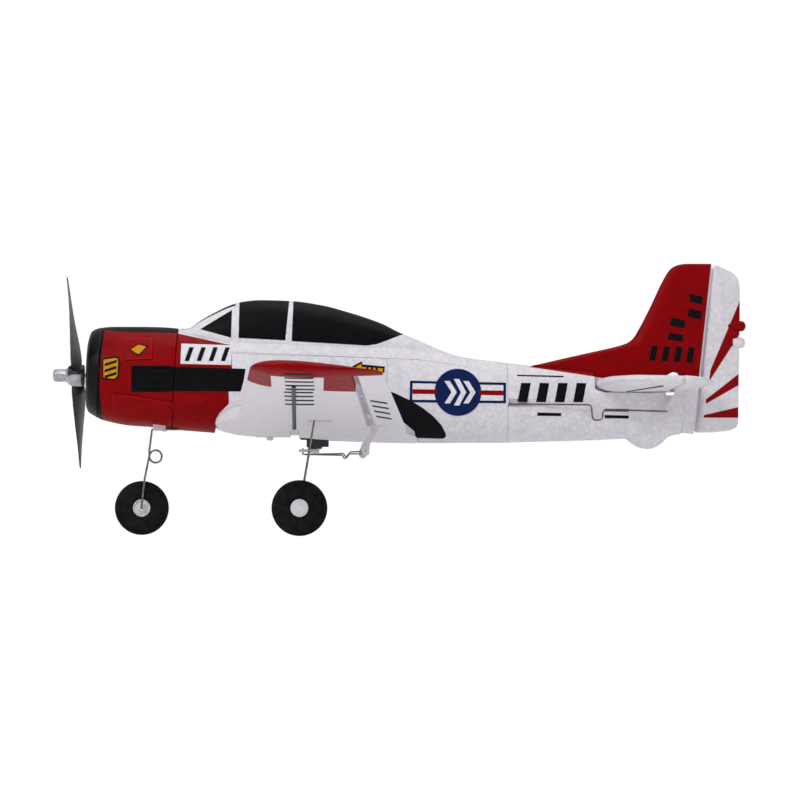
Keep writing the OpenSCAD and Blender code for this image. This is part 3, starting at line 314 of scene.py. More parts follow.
def half_sec(s, off, na=18, nb=10, nc=16):
    zm, zb, zd, w = s[3], s[2] + off, s[4] - off, s[5] - off
    wc = min(s[8] - off * .85, w - .4)
    zt = s[9] - off
    t1 = math.acos(min(1, (wc / w) ** (s[7] / 2)))
    zs = zm + (zd - zm) * math.sin(t1) ** (2 / s[7])
    t = np.pi / 2 * (1 - np.arange(na) / na)
    A = np.stack([w * spw(np.cos(t), 2 / s[6]), zm - (zm - zb) * spw(np.sin(t), 2 / s[6])], 1)
    t = t1 * np.arange(nb) / nb
    B = np.stack([w * spw(np.cos(t), 2 / s[7]), zm + (zd - zm) * spw(np.sin(t), 2 / s[7])], 1)
    t = t1 + (np.pi / 2 - t1) * np.arange(nc + 1) / nc
    u = np.pi / 2 * np.arange(nc + 1) / nc
    C1 = np.stack([w * spw(np.cos(t), 2 / s[7]), zm + (zd - zm) * spw(np.sin(t), 2 / s[7])], 1)
    C2 = np.stack([wc * spw(np.cos(u), 2 / 2.2), zs + (zt - zs) * spw(np.sin(u), 2 / 2.2)], 1)
    return np.concatenate([A, B, C1 * (1 - s[10]) + C2 * s[10]])


def ring(x, off, y0=0, full=False, res=(18, 10, 16)):
    s = S(x)
    q = half_sec(s, off, *res)
    r = np.stack([s[0] + s[1] * (q[:, 1] - 78.6), np.maximum(q[:, 0], y0), q[:, 1]], 1)
    if full:
        r[0, 1] = 0
        r[-1, 1] = 0
        back = r[1:-1][::-1] * np.array([1, -1, 1])
        r = np.concatenate([r, back])
    return [tuple(p) for p in r]


def ends(x0, x1, step, r0=.45, r1=.45, k0=None, k1=None):
    # stations with rounded ends: (x, offset)
    n = max(2, int((x1 - x0 - 1.6) / step))
    mid = np.linspace(x0 + .8, x1 - .8, n)
    a = [(x0, r0), (x0 + .12, r0 * .45), (x0 + .35, r0 * .12)] if r0 else [(x0, 0)]
    b = [(x1 - .35, r1 * .12), (x1 - .12, r1 * .45), (x1, r1)] if r1 else [(x1, 0)]
    return a + [(x, 0) for x in mid] + b


GAP = .15
US0 = None


def nfoil(u):
    return (.2969 * math.sqrt(u) - .126 * u - .3516 * u * u + .2843 * u ** 3 - .1036 * u ** 4) / .1


def sst(t):
    c = max(0, min(1, t))
    return c * c * (3 - 2 * c)


def tipf(h):
    return 1 if h <= 190 else math.sqrt(max(.004, 1 - ((h - 190) / 10.02) ** 2))


def w_le(h):
    return -81.3 + .0527 * h - 10.3 * (1 - sst((h - 21) / 29)) + (1 - tipf(h)) * 9


def w_te(h):
    return 4.7 - .09 * h + 4.6 * (1 - sst((h - 17) / 8)) - (1 - tipf(h)) * 7


def w_x(h, u):
    return w_le(h) + (w_te(h) - w_le(h)) * u


def w_g(h):
    return 1 - sst((h - 14) / 18)


def w_ch(h, u):
    return 52.1 + .1207 * h - u * (w_te(h) - w_le(h)) * .0436


def w_tt(u):
    return .5 * min(1, 8 * u)


def w_up(h, u):
    g = w_g(h)
    o = w_ch(h, u) + (tipf(h) * (7.8 - .022 * h)) * nfoil(u) + w_tt(u) * tipf(h)
    r = 54.6 - 7.2 * u + 12.2 * nfoil(u) + .4 * min(1, 8 * u)
    return o * (1 - g) + r * g


LOX = [0, .012, .04, .1, .19, .37, .52, .68, .83, 1]
LOZ = [54.6, 52.2, 51.0, 49.6, 48.7, 48.3, 46.9, 46.2, 45.7, 45.4]


def w_lo(h, u):
    g = w_g(h)
    o = w_ch(h, u) - (tipf(h) * (3.2 - .005 * h)) * nfoil(u) - w_tt(u) * tipf(h)
    r = float(np.interp(u, LOX, LOZ))
    return o * (1 - g) + r * g


US = [0, .003, .008, .016, .028, .045, .07, .1, .14, .19, .25, .31, .37, .43, .5, .57, .64, .71, .78, .85, .92, .97, .99, 1]
HS = [0.02, 4, 8, 12, 14, 16, 18, 20, 22, 24, 26, 28, 30, 33, 36, 40, 44, 48, 55, 65, 75, 90, 105, 120, 135, 150, 165, 178, 186, 190, 192, 194, 195.6, 197, 198.1, 198.9, 199.5, 199.9]


def wing_ring(h):
    a = [(w_x(h, u), h, w_up(h, u)) for u in US]
    b = [(w_x(h, u), h, w_lo(h, u)) for u in US[:0:-1]]
    # rounded trailing edge
    a[-1] = (a[-1][0], h, a[-1][2] - .18)
    b[0] = (b[0][0], h, b[0][2] + .18)
    return a + b


AA, AB = (-16.8, 45, 58.2), (-26.1, 190, 75.0)


def h_x(h):
    return AA[0] + (AB[0] - AA[0]) * (h - 45) / 145


HG = 1.0


def ail_ring(h, inset=0):
    x0 = h_x(h) + HG / 2
    le = w_le(h)
    c = w_te(h) - le
    u0 = (x0 - le) / c
    d = w_up(h, u0) - w_lo(h, u0)
    u1 = u0 + d * math.tan(rad(32)) / c
    up = [(le + c * (u0 + (1 - u0) * k), h, w_up(h, u0 + (1 - u0) * k)) for k in (0, .03, .1, .22, .4, .6, .8, .93, 1)]
    lo = [(le + c * (u1 + (1 - u1) * k), h, w_lo(h, u1 + (1 - u1) * k)) for k in (1, .93, .8, .6, .4, .22, .1, .03, 0)]
    up[-1] = (up[-1][0], h, up[-1][2] - .18)
    lo[0] = (lo[0][0], h, lo[0][2] + .18)
    r = up + lo
    if inset:
        c = np.mean(np.array(r), 0)
        r = [(p[0] + np.sign(c[0] - p[0]) * min(inset, abs(c[0] - p[0])), p[1], p[2] + np.sign(c[2] - p[2]) * min(inset, abs(c[2] - p[2]) * .8)) for p in r]
    return r


def lk(x, t):
    return float(np.interp(x, [p[0] for p in t], [p[1] for p in t]))


def lks(x, t):
    return float(pchip([p[0] for p in t], [p[1] for p in t], x)[0])


FX0 = [(78.5, 96.3), (80.5, 96.3), (80.6, 95.8), (83.4, 64.6), (87, 80), (90.5, 95.5), (94.3, 112.5), (97, 115.4), (101.7, 118.2), (112, 123.6), (128.3, 131.6), (131.6, 134.4), (133.4, 137.5), (134.2, 141)]
FXS = [(83.4, 64.6), (87, 80), (90.5, 95.5), (93.2, 107.3), (94.9, 112.4), (97, 115.2), (101.7, 118.2), (112, 123.6), (128.3, 131.6), (131.6, 134.0), (133.2, 136.6), (134.0, 139.5), (134.2, 141.2)]


def fin_x0(z):
    return lks(z, FXS) if z > 83.4 else lk(z, FX0)


def fin_x1(z):
    return 144.9 + .1138 * (z - 50)


FT = [(50, 3.2), (78, 3.6), (95, 3.2), (125, 2.3), (132, 1.9), (133.5, 1.45), (134.2, .7)]


def fin_t(z):
    return lk(z, FT)


def fin_ring(z):
    a, b, t = fin_x0(z), fin_x1(z), fin_t(z)
    l = min(9, (b - a) * .35)
    ks = [.01, .04, .1, .2, .35, .55, .8, 1]
    up = [(a, 0, z)] + [(a + l * k, t * math.sqrt(1 - (1 - k) ** 2), z) for k in ks]
    up += [(a + l + (b - a - l) * q, t * (1 - .05 * q), z) for q in (.35, .7, .96)] + [(b - .25, t * .93, z), (b, t * .86, z)]
    return up + [(p[0], -p[1], p[2]) for p in up[:0:-1]]


RX1 = [(50.6, 153.5), (50.8, 156.5), (51.2, 160.5), (51.6, 163.2), (52.3, 165.2), (53.4, 166.6), (54.8, 167.3), (57, 167.5), (64, 167.55), (120, 168.4), (123, 168.3), (126, 167.7), (127.7, 167.0), (129.4, 165.4), (130.8, 162.9), (131.8, 160.6), (132.4, 159.3), (133.0, 158.2), (133.4, 157.6)]


def rud_x1(z):
    return lks(z, RX1)


def rud_ring(z, k=1):
    a, b = fin_x1(z) + HG, rud_x1(z)
    t = fin_t(z) * .95 * k
    l = fin_t(z) * .95 * math.tan(rad(36))
    te = .7 * k
    up = [(a, .25 * k, z), (a + l * .9, t * .93, z), (a + l * 1.12, t, z), (a + l + (b - a - l) * .25, t * .9, z), (a + l + (b - a - l) * .5, t * .72, z), (a + l + (b - a - l) * .75, (t * .72 + te) / 2, z), (b - .9, te, z), (b - .35, te * .85, z), (b, te * .4, z)]
    return up + [(p[0], -p[1], p[2]) for p in up[::-1]]


EHX, EHZ = 132.3, 74.3


def st_le(y):
    return 96 + lks(y, [(0, 0), (12, .6), (60, 4.2), (72, 5.9), (77.5, 8.2), (80.5, 11.2), (82, 15)])


def st_te(y):
    return 153.7 - lks(y, [(0, 0), (12, 0), (68, 8.2), (75, 10.2), (79.5, 13.2), (82, 17.5)])


def st_t(y):
    return lk(y, [(0, 4.1), (9, 4.0), (70, 2.4), (79, 1.8), (81, 1.4), (81.7, .95), (82, .5)])


def st_ring(y):
    h = abs(y)
    a, b, t = st_le(h), EHX - HG / 2, st_t(h)
    ks = [.008, .03, .08, .18, .33, .55, .8, 1]
    up = [(a, y, EHZ)] + [(a + 11 * k, y, EHZ + t * math.sqrt(1 - (1 - k) ** 2)) for k in ks]
    up += [(a + 11 + (b - a - 11) * q, y, EHZ + t * (1 - .1 * q)) for q in (.35, .7, .95)] + [(b - .2, y, EHZ + t * .88), (b, y, EHZ + t * .8)]
    return up + [(p[0], p[1], 2 * EHZ - p[2]) for p in up[:0:-1]]


def el_ring(y, k=1):
    h = abs(y)
    a, b, t = EHX + HG / 2, st_te(h), st_t(h) * .9 * k
    l = st_t(h) * .9 * math.tan(rad(33))
    up = [(a, y, .25 * k), (a + l * .9, y, t * .93), (a + l * 1.12, y, t), (a + l + (b - a - l) * .35, y, t * .8 + .14 * k), (a + l + (b - a - l) * .7, y, t * .42 + .41 * k), (b - .9, y, .7 * k), (b - .3, y, .58 * k), (b, y, .28 * k)]
    return [(p[0], p[1], EHZ + p[2]) for p in up] + [(p[0], p[1], EHZ - p[2]) for p in up[::-1]]


# photo place (800 px frame) to model mm, on a surface h mm nearer the camera than the centre plane
def PX(px, h=0):
    m = 1 / (1 - h / 1800)
    return (305 + (px - 305) / m - 399.5) * .4935


def PZ(py, h=0):
    m = 1 / (1 - h / 1800)
    return (535 - (505 + (py - 505) / m)) * .4935


def P(px, py, h=0):
    return PX(px, h), PZ(py, h)


# ------------------------------------------------------------------ materials
class G:
    def __init__(s, name, slot=None):
        s.mat = bpy.data.materials.new(name)
        s.mat.use_nodes = True
        s.t = s.mat.node_tree
        s.t.nodes.clear()
        s.out = s.add("ShaderNodeOutputMaterial")
        s.b = s.add("ShaderNodeBsdfPrincipled")
        s.t.links.new(s.b.outputs[0], s.out.inputs[0])
        tc = s.add("ShaderNodeTexCoord")
        v = s.add("ShaderNodeVectorMath")
        v.operation = "SCALE"
        s.t.links.new(tc.outputs["Object"], v.inputs[0])
        v.inputs["Scale"].default_value = 1000
        s.p = v.outputs[0]
        q = s.add("ShaderNodeSeparateXYZ")
        s.t.links.new(s.p, q.inputs[0])
        s.x, s.y, s.z = q.outputs
        s.ay = s.m("ABSOLUTE", s.y)

    def add(s, t):
        return s.t.nodes.new(t)

    def put(s, inp, v):
        if hasattr(v, "links") or hasattr(v, "is_linked"):
            s.t.links.new(v, inp)
        elif isinstance(v, (tuple, list)):
            inp.default_value = tuple(v) + ((1,) if len(v) == 3 and len(inp.default_value) == 4 else ())
        else:
            inp.default_value = v

    def m(s, op, a, b=0.0, c=None):
        n = s.add("ShaderNodeMath")
        n.operation = op
        s.put(n.inputs[0], a)
        s.put(n.inputs[1], b)
        if c is not None:
            s.put(n.inputs[2], c)
        return n.outputs[0]

    def mix(s, f, a, b):
        n = s.add("ShaderNodeMix")
        n.data_type = "RGBA"
        s.put(n.inputs[0], f)
        s.put(n.inputs[6], a)
        s.put(n.inputs[7], b)
        return n.outputs[2]

    def ramp(s, v, a, b, o0=0.0, o1=1.0):
        n = s.add("ShaderNodeMapRange")
        n.interpolation_type = "SMOOTHSTEP"
        s.put(n.inputs[0], v)
        for i, q in enumerate((a, b, o0, o1)):
            n.inputs[1 + i].default_value = q
        return n.outputs[0]

    def noise(s, mm, detail=3, rough=.55, vec=None, dist=0):
        n = s.add("ShaderNodeTexNoise")
        s.put(n.inputs["Vector"], vec or s.p)
        n.inputs["Scale"].default_value = 1 / mm
        n.inputs["Detail"].default_value = detail
        n.inputs["Roughness"].default_value = rough
        n.inputs["Distortion"].default_value = dist
        return n.outputs[0]

    def vor(s, mm, feature="DISTANCE_TO_EDGE", rnd=1.0, vec=None):
        n = s.add("ShaderNodeTexVoronoi")
        n.feature = feature
        s.put(n.inputs["Vector"], vec or s.p)
        n.inputs["Scale"].default_value = 1 / mm
        n.inputs["Randomness"].default_value = rnd
        return n.outputs["Distance"]

    def vec(s, x, y, z):
        n = s.add("ShaderNodeCombineXYZ")
        for i, v in enumerate((x, y, z)):
            s.put(n.inputs[i], v)
        return n.outputs[0]

    # mask that is 1 to the left of p->q in the plane (A, B)
    def half(s, p, q, soft=.12, A=None, B=None):
        A, B = A or s.x, B or s.z
        d = Vector((q[0] - p[0], q[1] - p[1])).normalized()
        n = (-d.y, d.x)
        v = s.m("MULTIPLY", A, n[0])
        v = s.m("MULTIPLY_ADD", B, n[1], v)
        c = n[0] * p[0] + n[1] * p[1]
        return s.ramp(v, c - soft, c + soft)

    def poly(s, pts, soft=.12, A=None, B=None):
        a = sum(pts[i][0] * pts[(i + 1) % len(pts)][1] - pts[(i + 1) % len(pts)][0] * pts[i][1] for i in range(len(pts)))
        if a < 0:
            pts = pts[::-1]
        r = None
        for i in range(len(pts)):
            h = s.half(pts[i], pts[(i + 1) % len(pts)], soft, A, B)
            r = h if r is None else s.m("MULTIPLY", r, h)
        return r

    def path(s, pts, soft=.12):
        # product of halves along an open convex line
        r = None
        for i in range(len(pts) - 1):
            h = s.half(pts[i], pts[i + 1], soft)
            r = h if r is None else s.m("MULTIPLY", r, h)
        return r

    def OR(s, a, b):
        return s.m("MAXIMUM", a, b)

    def AND(s, a, b):
        return s.m("MULTIPLY", a, b)

    def NOT(s, a):
        return s.m("SUBTRACT", 1.0, a)

    def done(s, color, rough, height=None, dist=1.0, **kw):
        s.put(s.b.inputs["Base Color"], color)
        s.put(s.b.inputs["Roughness"], rough)
        if height is not None:
            n = s.add("ShaderNodeBump")
            n.inputs["Strength"].default_value = 1
            n.inputs["Distance"].default_value = K * dist
            s.put(n.inputs["Height"], height)
            s.t.links.new(n.outputs[0], s.b.inputs["Normal"])
        for k, v in kw.items():
            s.put(s.b.inputs[k.replace("_", " ")], v)
        return s.mat


def lin(r, g, b):
    f = lambda c: (c / 255 / 12.92) if c / 255 <= .04045 else ((c / 255 + .055) / 1.055) ** 2.4
    return f(r), f(g), f(b)


WHITE, WHITE2 = lin(236, 233, 239), lin(226, 222, 230)
RED, RED2 = lin(148, 0, 7), lin(134, 0, 5)
BLK, BLK2 = lin(16, 16, 20), lin(11, 11, 14)
NAVY, YEL = lin(10, 36, 88), lin(216, 156, 6)


def foam(name, red=None, black=None, extra=None, bead=1.0, seed=0.0, grooves=None, cloudy=1.0):
    """White moulded bead foam with painted zones. red and black are functions of the node helper giving masks."""
    g = G(name)
    off = g.vec(seed * 7.1, seed * 3.3, seed)
    va = g.add("ShaderNodeVectorMath")
    va.operation = "ADD"
    g.put(va.inputs[0], g.p)
    g.put(va.inputs[1], off)
    vec = va.outputs[0]
    big = g.noise(28, 3, .55, vec)
    body = g.ramp(g.noise(16, 2, .5, vec), .38, .62, .35, 1.0)
    fine = g.noise(.55, 2, .6, vec)
    cloud = g.noise(5.5, 4, .6, vec)
    edge = g.vor(2.5, vec=vec)
    cell = g.ramp(edge, 0.0, .10)
    per = g.vor(2.5, "F1", vec=vec)
    col_w = g.mix(g.m("MULTIPLY", g.ramp(cloud, .35, .7), cloudy), WHITE, WHITE2)
    col_w = g.mix(g.m("MULTIPLY", g.m("MULTIPLY", g.NOT(cell), body), .26 * bead), col_w, lin(192, 186, 198))
    col_w = g.mix(g.m("MULTIPLY", g.ramp(per, .35, .95), .22 * bead), col_w, lin(204, 198, 208))
    col_w = g.mix(g.m("MULTIPLY", g.ramp(big, .52, .75), .14 * cloudy), col_w, lin(212, 206, 214))
    col = col_w
    rough = g.m("MULTIPLY_ADD", cloud, .16, .42)
    paint = None
    if red:
        mr = red(g)
        wear = g.ramp(g.noise(1.1, 4, .7, vec), .72, .82)
        cr = g.mix(g.ramp(cloud, .3, .7), RED, RED2)
        cr = g.mix(g.m("MULTIPLY", g.NOT(cell), .12), cr, lin(100, 0, 5))
        mrw = g.m("MULTIPLY", mr, g.m("SUBTRACT", 1.0, g.m("MULTIPLY", wear, .06)))
        col = g.mix(mrw, col, cr)
        paint = mr
    if black:
        mb = black(g)
        cb = g.mix(g.ramp(cloud, .3, .7), BLK, BLK2)
        col = g.mix(mb, col, cb)
        paint = g.OR(paint, mb) if paint is not None else mb
    for mask, ca, cb2 in (extra(g) if extra else ()):
        col = g.mix(mask, col, g.mix(g.ramp(cloud, .3, .7), ca, cb2))
        paint = g.OR(paint, mask) if paint is not None else mask
    if paint is not None:
        rough = g.m("MULTIPLY_ADD", paint, -.07, rough)
        amp = g.m("MULTIPLY_ADD", paint, -.6, 1.0)
    else:
        amp = 1.0
    h = g.m("MULTIPLY", g.ramp(edge, 0.0, .16), .075 * bead)
    h = g.m("MULTIPLY", h, amp)
    h = g.m("MULTIPLY_ADD", fine, .016, h)
    h = g.m("MULTIPLY_ADD", cloud, .022 * cloudy, h)
    if paint is not None:
        h = g.m("MULTIPLY_ADD", paint, .03, h)
    if grooves:
        gm_ = grooves(g)
        # the grooves are also coloured grey-purple: painted shade in the recess, added on top of the real dent from the
        # bump below
        col = g.mix(g.m("MULTIPLY", gm_, .30), col, lin(120, 112, 124))
        h = g.m("MULTIPLY_ADD", gm_, -.16, h)
    spec = .26 if paint is None else g.m("MULTIPLY_ADD", paint, -.19, .26)
    return g.done(col, rough, h, Subsurface_Weight=0.0, Specular_IOR_Level=spec)


def sticker(name, a, b, rough=.38):
    g = G(name)
    n = g.noise(2.2, 4, .6)
    f = g.noise(.4, 2, .5)
    wear = g.ramp(g.noise(.9, 4, .7), .70, .78)
    c = g.mix(g.ramp(n, .35, .7), a, b)
    c = g.mix(g.m("MULTIPLY", wear, .035), c, WHITE2)
    h = g.m("MULTIPLY_ADD", f, .012, g.m("MULTIPLY", n, .03))
    return g.done(c, g.m("MULTIPLY_ADD", n, .14, rough), h, Specular_IOR_Level=.08)


def plastic(name, a, b, rough=.3, bump=.012, scale=.7, metallic=0.0, trans=0.0, sss=0.0, coat=0.0, wear=.15, wearcol=None, spec=.5):
    g = G(name)
    n = g.noise(3.1, 4, .6)
    f = g.noise(scale, 3, .6)
    sc = g.noise(.9, 5, .75, dist=.6)
    c = g.mix(g.ramp(n, .3, .72), a, b)
    c = g.mix(g.m("MULTIPLY", g.ramp(sc, .66, .76), wear), c, wearcol or tuple(min(1, v * 1.6 + .02) for v in a))
    h = g.m("MULTIPLY_ADD", f, bump, g.m("MULTIPLY", n, bump))
    kw = dict(Metallic=metallic, Coat_Weight=coat, Specular_IOR_Level=spec)
    if trans:
        kw["Transmission_Weight"] = trans
    if sss:
        kw["Subsurface_Weight"] = sss
    m = g.done(c, g.m("MULTIPLY_ADD", n, .2, rough - .08), h, **kw)
    if sss:
        g.b.inputs["Subsurface Scale"].default_value = .0015
    return m


# painted zones, in the side view
h20 = 21.5
nose_line = [P(103, 330, h20), P(101, 350, h20), P(100, 369, h20), P(99.3, 389, h20), P(100.8, 421, h20)]


def cowl_red(g):
    return g.half((-160, 0), (-160, -10))


def cowl_black(g):
    # front lip and the anti-glare strip on top
    front = g.NOT(g.path(nose_line))
    a, b, c = P(97, 329, 12), P(120, 331.8, 14), P(180, 333.6, 12)
    top = g.AND(g.half(a, b, .2), g.half(b, c, .2))
    end = g.poly([P(160, 366.9, h20), P(180, 366.9, h20), P(180, 391.5, h20), P(160, 391.3, h20)], .1)
    return g.OR(g.OR(front, top), end)


def front_red(g):
    # fuselage and hatch: red up to the windshield line and the white belly
    top = g.half(P(231, 345, h20), P(178, 333, h20), .12)      # below the sloping line
    rear1 = g.half(P(231.4, 300, h20), P(231.4, 367, h20), .12)
    lowz = g.half(P(250, 380, h20), P(150, 380, h20), .12)     # below the ribbon
    rear2 = g.half(P(228.3, 300, h20), P(228.3, 408.5, h20), .12)
    r3 = g.half(P(228.3, 404, h20), P(218, 414.2, h20), .12)
    r4 = g.half(P(218.4, 412, h20), P(215, 433, h20), .12)
    a = g.AND(g.AND(top, g.NOT(rear1)), g.NOT(lowz))
    b = g.AND(g.AND(lowz, g.NOT(rear2)), g.NOT(g.AND(g.half(P(250, 404, h20), P(150, 404, h20), .1), g.AND(r3, r4))))
    root = g.AND(g.half(P(526, 366.6, 3), P(613, 379.6, 3), .12), g.ramp(g.x, 63.6, 64.0))
    return g.OR(g.OR(a, b), root)


def ribbon(g):
    return g.poly([P(168, 366.9, h20), P(174, 366.9, h20), P(246.5, 369.0, h20), P(243.2, 381, h20), P(241.4, 391.8, h20), P(173, 391.5, h20), P(168, 391.4, h20)], .1)


def fus_lines(g):
    out = None
    for a, b in ((P(507.6, 366, 14.5), P(507.6, 446, 14.5)), (P(386.8, 358, 18.5), P(386.8, 392, 18.5)), (P(232, 353.6, 21), P(386.8, 358.2, 18.5))):
        d = Vector((b[0] - a[0], b[1] - a[1])).normalized()
        n = Vector((-d.y, d.x)) * .16
        q = g.poly([(a[0] + n.x, a[1] + n.y), (b[0] + n.x, b[1] + n.y), (b[0] - n.x, b[1] - n.y), (a[0] - n.x, a[1] - n.y)], .08)
        out = q if out is None else g.OR(out, q)
    return out


def anti_glare(g):
    # black strip that runs back to the windshield
    return g.AND(g.half(P(120, 331.8, 12), P(185, 333.7, 12), .2), g.NOT(g.half(P(185, 333.7, 10), P(178, 326, 10), .2)))


M = {}
M["cowl"] = foam("painted_foam_cowl", cowl_red, cowl_black, seed=1)
M["fus"] = foam("painted_foam_fuselage", front_red, ribbon, seed=2, bead=1.2, grooves=fus_lines)
def panes(g):
    hc = 14
    tri = g.poly([P(199.4, 329.2, hc), P(230.6, 338.0, hc), P(231.2, 309.4, hc)], .12)
    mid = g.poly([P(239.2, 250, 12), P(238.0, 338.2, hc), P(284.8, 340.6, hc), P(288.6, 300, 12), P(291, 250, 12)], .12)
    rear = g.poly([P(294.6, 250, 12), P(292.6, 301, 12), P(291.0, 341.4, hc), P(366.0, 345.6, hc), P(376.5, 344.0, hc), P(390, 339.2, 10), P(403.5, 333.5, 8), P(430, 318, 0), P(430, 250, 0)], .12)
    shield = g.poly([P(181, 333.2, 0), P(196, 327.6, 0), P(235.2, 306, 0), P(235.2, 270, 0), P(181, 270, 0)], .12)
    # the windshield sits between its two side frames
    shield = g.AND(shield, g.ramp(g.ay, 6.3, 6.1))
    return g.OR(g.OR(tri, mid), g.OR(rear, shield))


M["hatch"] = foam("painted_foam_hatch", front_red, panes, seed=3)
M["ringblk"] = plastic("satin_black_cowl_ring", lin(18, 18, 21), lin(12, 12, 15), .36, .012, .5, wear=.04, spec=.16)
M["white"] = foam("white_foam", seed=4)
M["black"] = sticker("black_paint", BLK, BLK2)

M["ltwhite"] = sticker("white_paint", lin(238, 236, 242), lin(222, 219, 228))
M["navy"] = sticker("navy_paint", NAVY, lin(14, 30, 78))
M["yellow"] = sticker("yellow_paint", YEL, lin(196, 140, 6))
M["redp"] = sticker("red_paint", RED, RED2)
M["silver"] = plastic("frosted_silver", lin(196, 196, 202), lin(168, 168, 176), .36, .02, .25, metallic=.55, wear=.1)
M["prop"] = plastic("dark_prop_plastic", lin(48, 48, 54), lin(34, 34, 39), .32, .012, .6, wear=.1, spec=.25)
M["hub"] = plastic("wheel_hub_white", lin(232, 230, 236), lin(210, 208, 216), .32, .01, .7, sss=.1)
M["tyre"] = plastic("foam_tyre_black", lin(28, 28, 28), lin(15, 15, 15), .86, .09, .42, wear=.10, wearcol=lin(46, 44, 43), spec=.15)
M["clear"] = plastic("translucent_white_plastic", lin(232, 226, 234), lin(212, 204, 216), .28, .01, .8, sss=.25, coat=.1, wear=.05)
M["wire"] = plastic("steel_wire", lin(150, 140, 132), lin(112, 102, 94), .34, .006, .3, metallic=.9, wear=.25, wearcol=lin(84, 66, 50))
M["rod"] = plastic("pushrod_steel", lin(128, 118, 104), lin(92, 82, 70), .38, .006, .3, metallic=.85, wear=.25, wearcol=lin(70, 54, 40))
M["servo"] = plastic("servo_case_black", lin(38, 38, 42), lin(24, 24, 28), .36, .012, .5, wear=.1)
M["servoblue"] = plastic("servo_case_blue", lin(34, 44, 96), lin(22, 30, 70), .25, .01, .6, coat=.2, wear=.08)
M["carbon"] = plastic("carbon_spar", lin(44, 44, 48), lin(26, 26, 30), .4, .02, .3, wear=.12)
M["engine"] = plastic("engine_face_grey", lin(84, 86, 90), lin(46, 48, 52), .45, .03, .5, metallic=.3, wear=.3)
M["tray"] = plastic("ply_black_tray", lin(52, 52, 56), lin(34, 34, 38), .5, .03, .6, wear=.15)
M["brass"] = plastic("brass_pinion", lin(196, 160, 78), lin(160, 124, 52), .3, .01, .4, metallic=.9)
M["nylon"] = plastic("nylon_gear", lin(226, 224, 214), lin(206, 202, 190), .4, .01, .5, sss=.1)
M["steel"] = plastic("zinc_screws", lin(182, 182, 186), lin(150, 150, 156), .3, .01, .4, metallic=.95)
M["batt"] = plastic("battery_wrap", lin(64, 66, 74), lin(40, 42, 50), .3, .03, 1.4, coat=.3)
M["strap"] = plastic("hook_strap", lin(30, 30, 32), lin(18, 18, 20), .9, .12, .35)
M["pcb"] = plastic("circuit_board", lin(18, 74, 40), lin(10, 52, 28), .3, .02, .8, coat=.3)
M["lead"] = plastic("silicone_lead", lin(150, 20, 22), lin(110, 10, 12), .45, .01, .5)
M["magnet"] = plastic("nickel_magnet", lin(200, 200, 204), lin(170, 170, 176), .18, .006, .4, metallic=1)
M["gearbox"] = plastic("gearbox_plastic", lin(44, 44, 48), lin(30, 30, 34), .4, .015, .5)
M["can"] = plastic("motor_can", lin(190, 190, 196), lin(150, 150, 158), .25, .01, .4, metallic=.95)


def wing_red(g):
    # tip band on both faces, with a white field inboard of it on the underside
    band = g.half((-24, 148), (-73, 160), .2, g.x, g.ay)
    band = g.NOT(band)
    zm = g.m("MULTIPLY_ADD", g.ay, .1230, 48.555)
    zm = g.m("MULTIPLY_ADD", g.x, -.0436, zm)
    under = g.ramp(g.m("SUBTRACT", g.z, zm), .1, -.1)
    field = g.poly([(-62, 100), (-38.6, 100), (-38.6, 188), (-62, 188)], .15, g.x, g.ay)
    return g.AND(band, g.NOT(g.AND(under, field)))


M["wing"] = foam("painted_foam_wing", wing_red, None, bead=.5, seed=5, cloudy=.35)
M["ail"] = foam("painted_foam_aileron", lambda g: g.ramp(g.ay, 193, 193.3), None, bead=.5, seed=6, cloudy=.35)
M["tail"] = foam("white_foam_tail", bead=.8, seed=7)


def fin_red(g):
    lower = g.half(P(530, 367.2, 3), P(613, 379.6, 3), .12)
    post = g.half((fin_x1(50) - .35, 50), (fin_x1(135) - .35, 135), .12)
    low2 = g.ramp(g.z, 77.2, 77.4)
    return g.AND(g.AND(lower, post), low2)


M["fin"] = foam("painted_foam_fin", fin_red, None, bead=.6, seed=8)


def rays(g):
    out = None
    R = [[P(710.8, 369.5, 1.5), P(748, 284.1, 1.5), P(748, 322.4, 1.5), P(709.2, 381.6, 1.5)],
         [P(746, 368.6, 1.5), P(746, 381.3, 1.5), P(706, 403.8, 1.5), P(706, 399.4, 1.5)],
         [P(746, 405.3, 1.5), P(746, 417.6, 1.5), P(703.6, 417.6, 1.5), P(703.9, 415.1, 1.5)]]
    for r in R:
        q = g.poly(r, .12)
        out = q if out is None else g.OR(out, q)
    return out


M["rud"] = foam("painted_foam_rudder", rays, None, bead=1.0, seed=9)

# ------------------------------------------------------------------ airframe: fuselage
Zc = lambda c: [(-125, 101.4 + c), (-109.5, 100.1 + c), (-83.2, 93.8 + c), (-82.7, 89.3 + c), (9.6, 85.9 + c), (32.6 - c, 82.7 + c), (32.6 - c, 130), (-125, 130)]
WALL = 3.6


def saddle():
    hs = [-26, -18, -10, 0.001, 10, 18, 26]
    R = []
    for h in hs:
        a = abs(h)
        x0, x1 = w_le(a) - GAP, w_te(a) + GAP
        R.append([(w_x(a, u) + (-GAP if u == 0 else GAP if u == 1 else 0), h, w_up(a, u) + GAP) for u in US] + [(x1, h, 38), (x0, h, 38)])
    return loft(R)


def cavity():
    xs = [-105.5] + list(np.arange(-103, 90, 6)) + [93]
    return loft([ring(x, WALL, full=True, res=(8, 5, 7)) for x in xs])


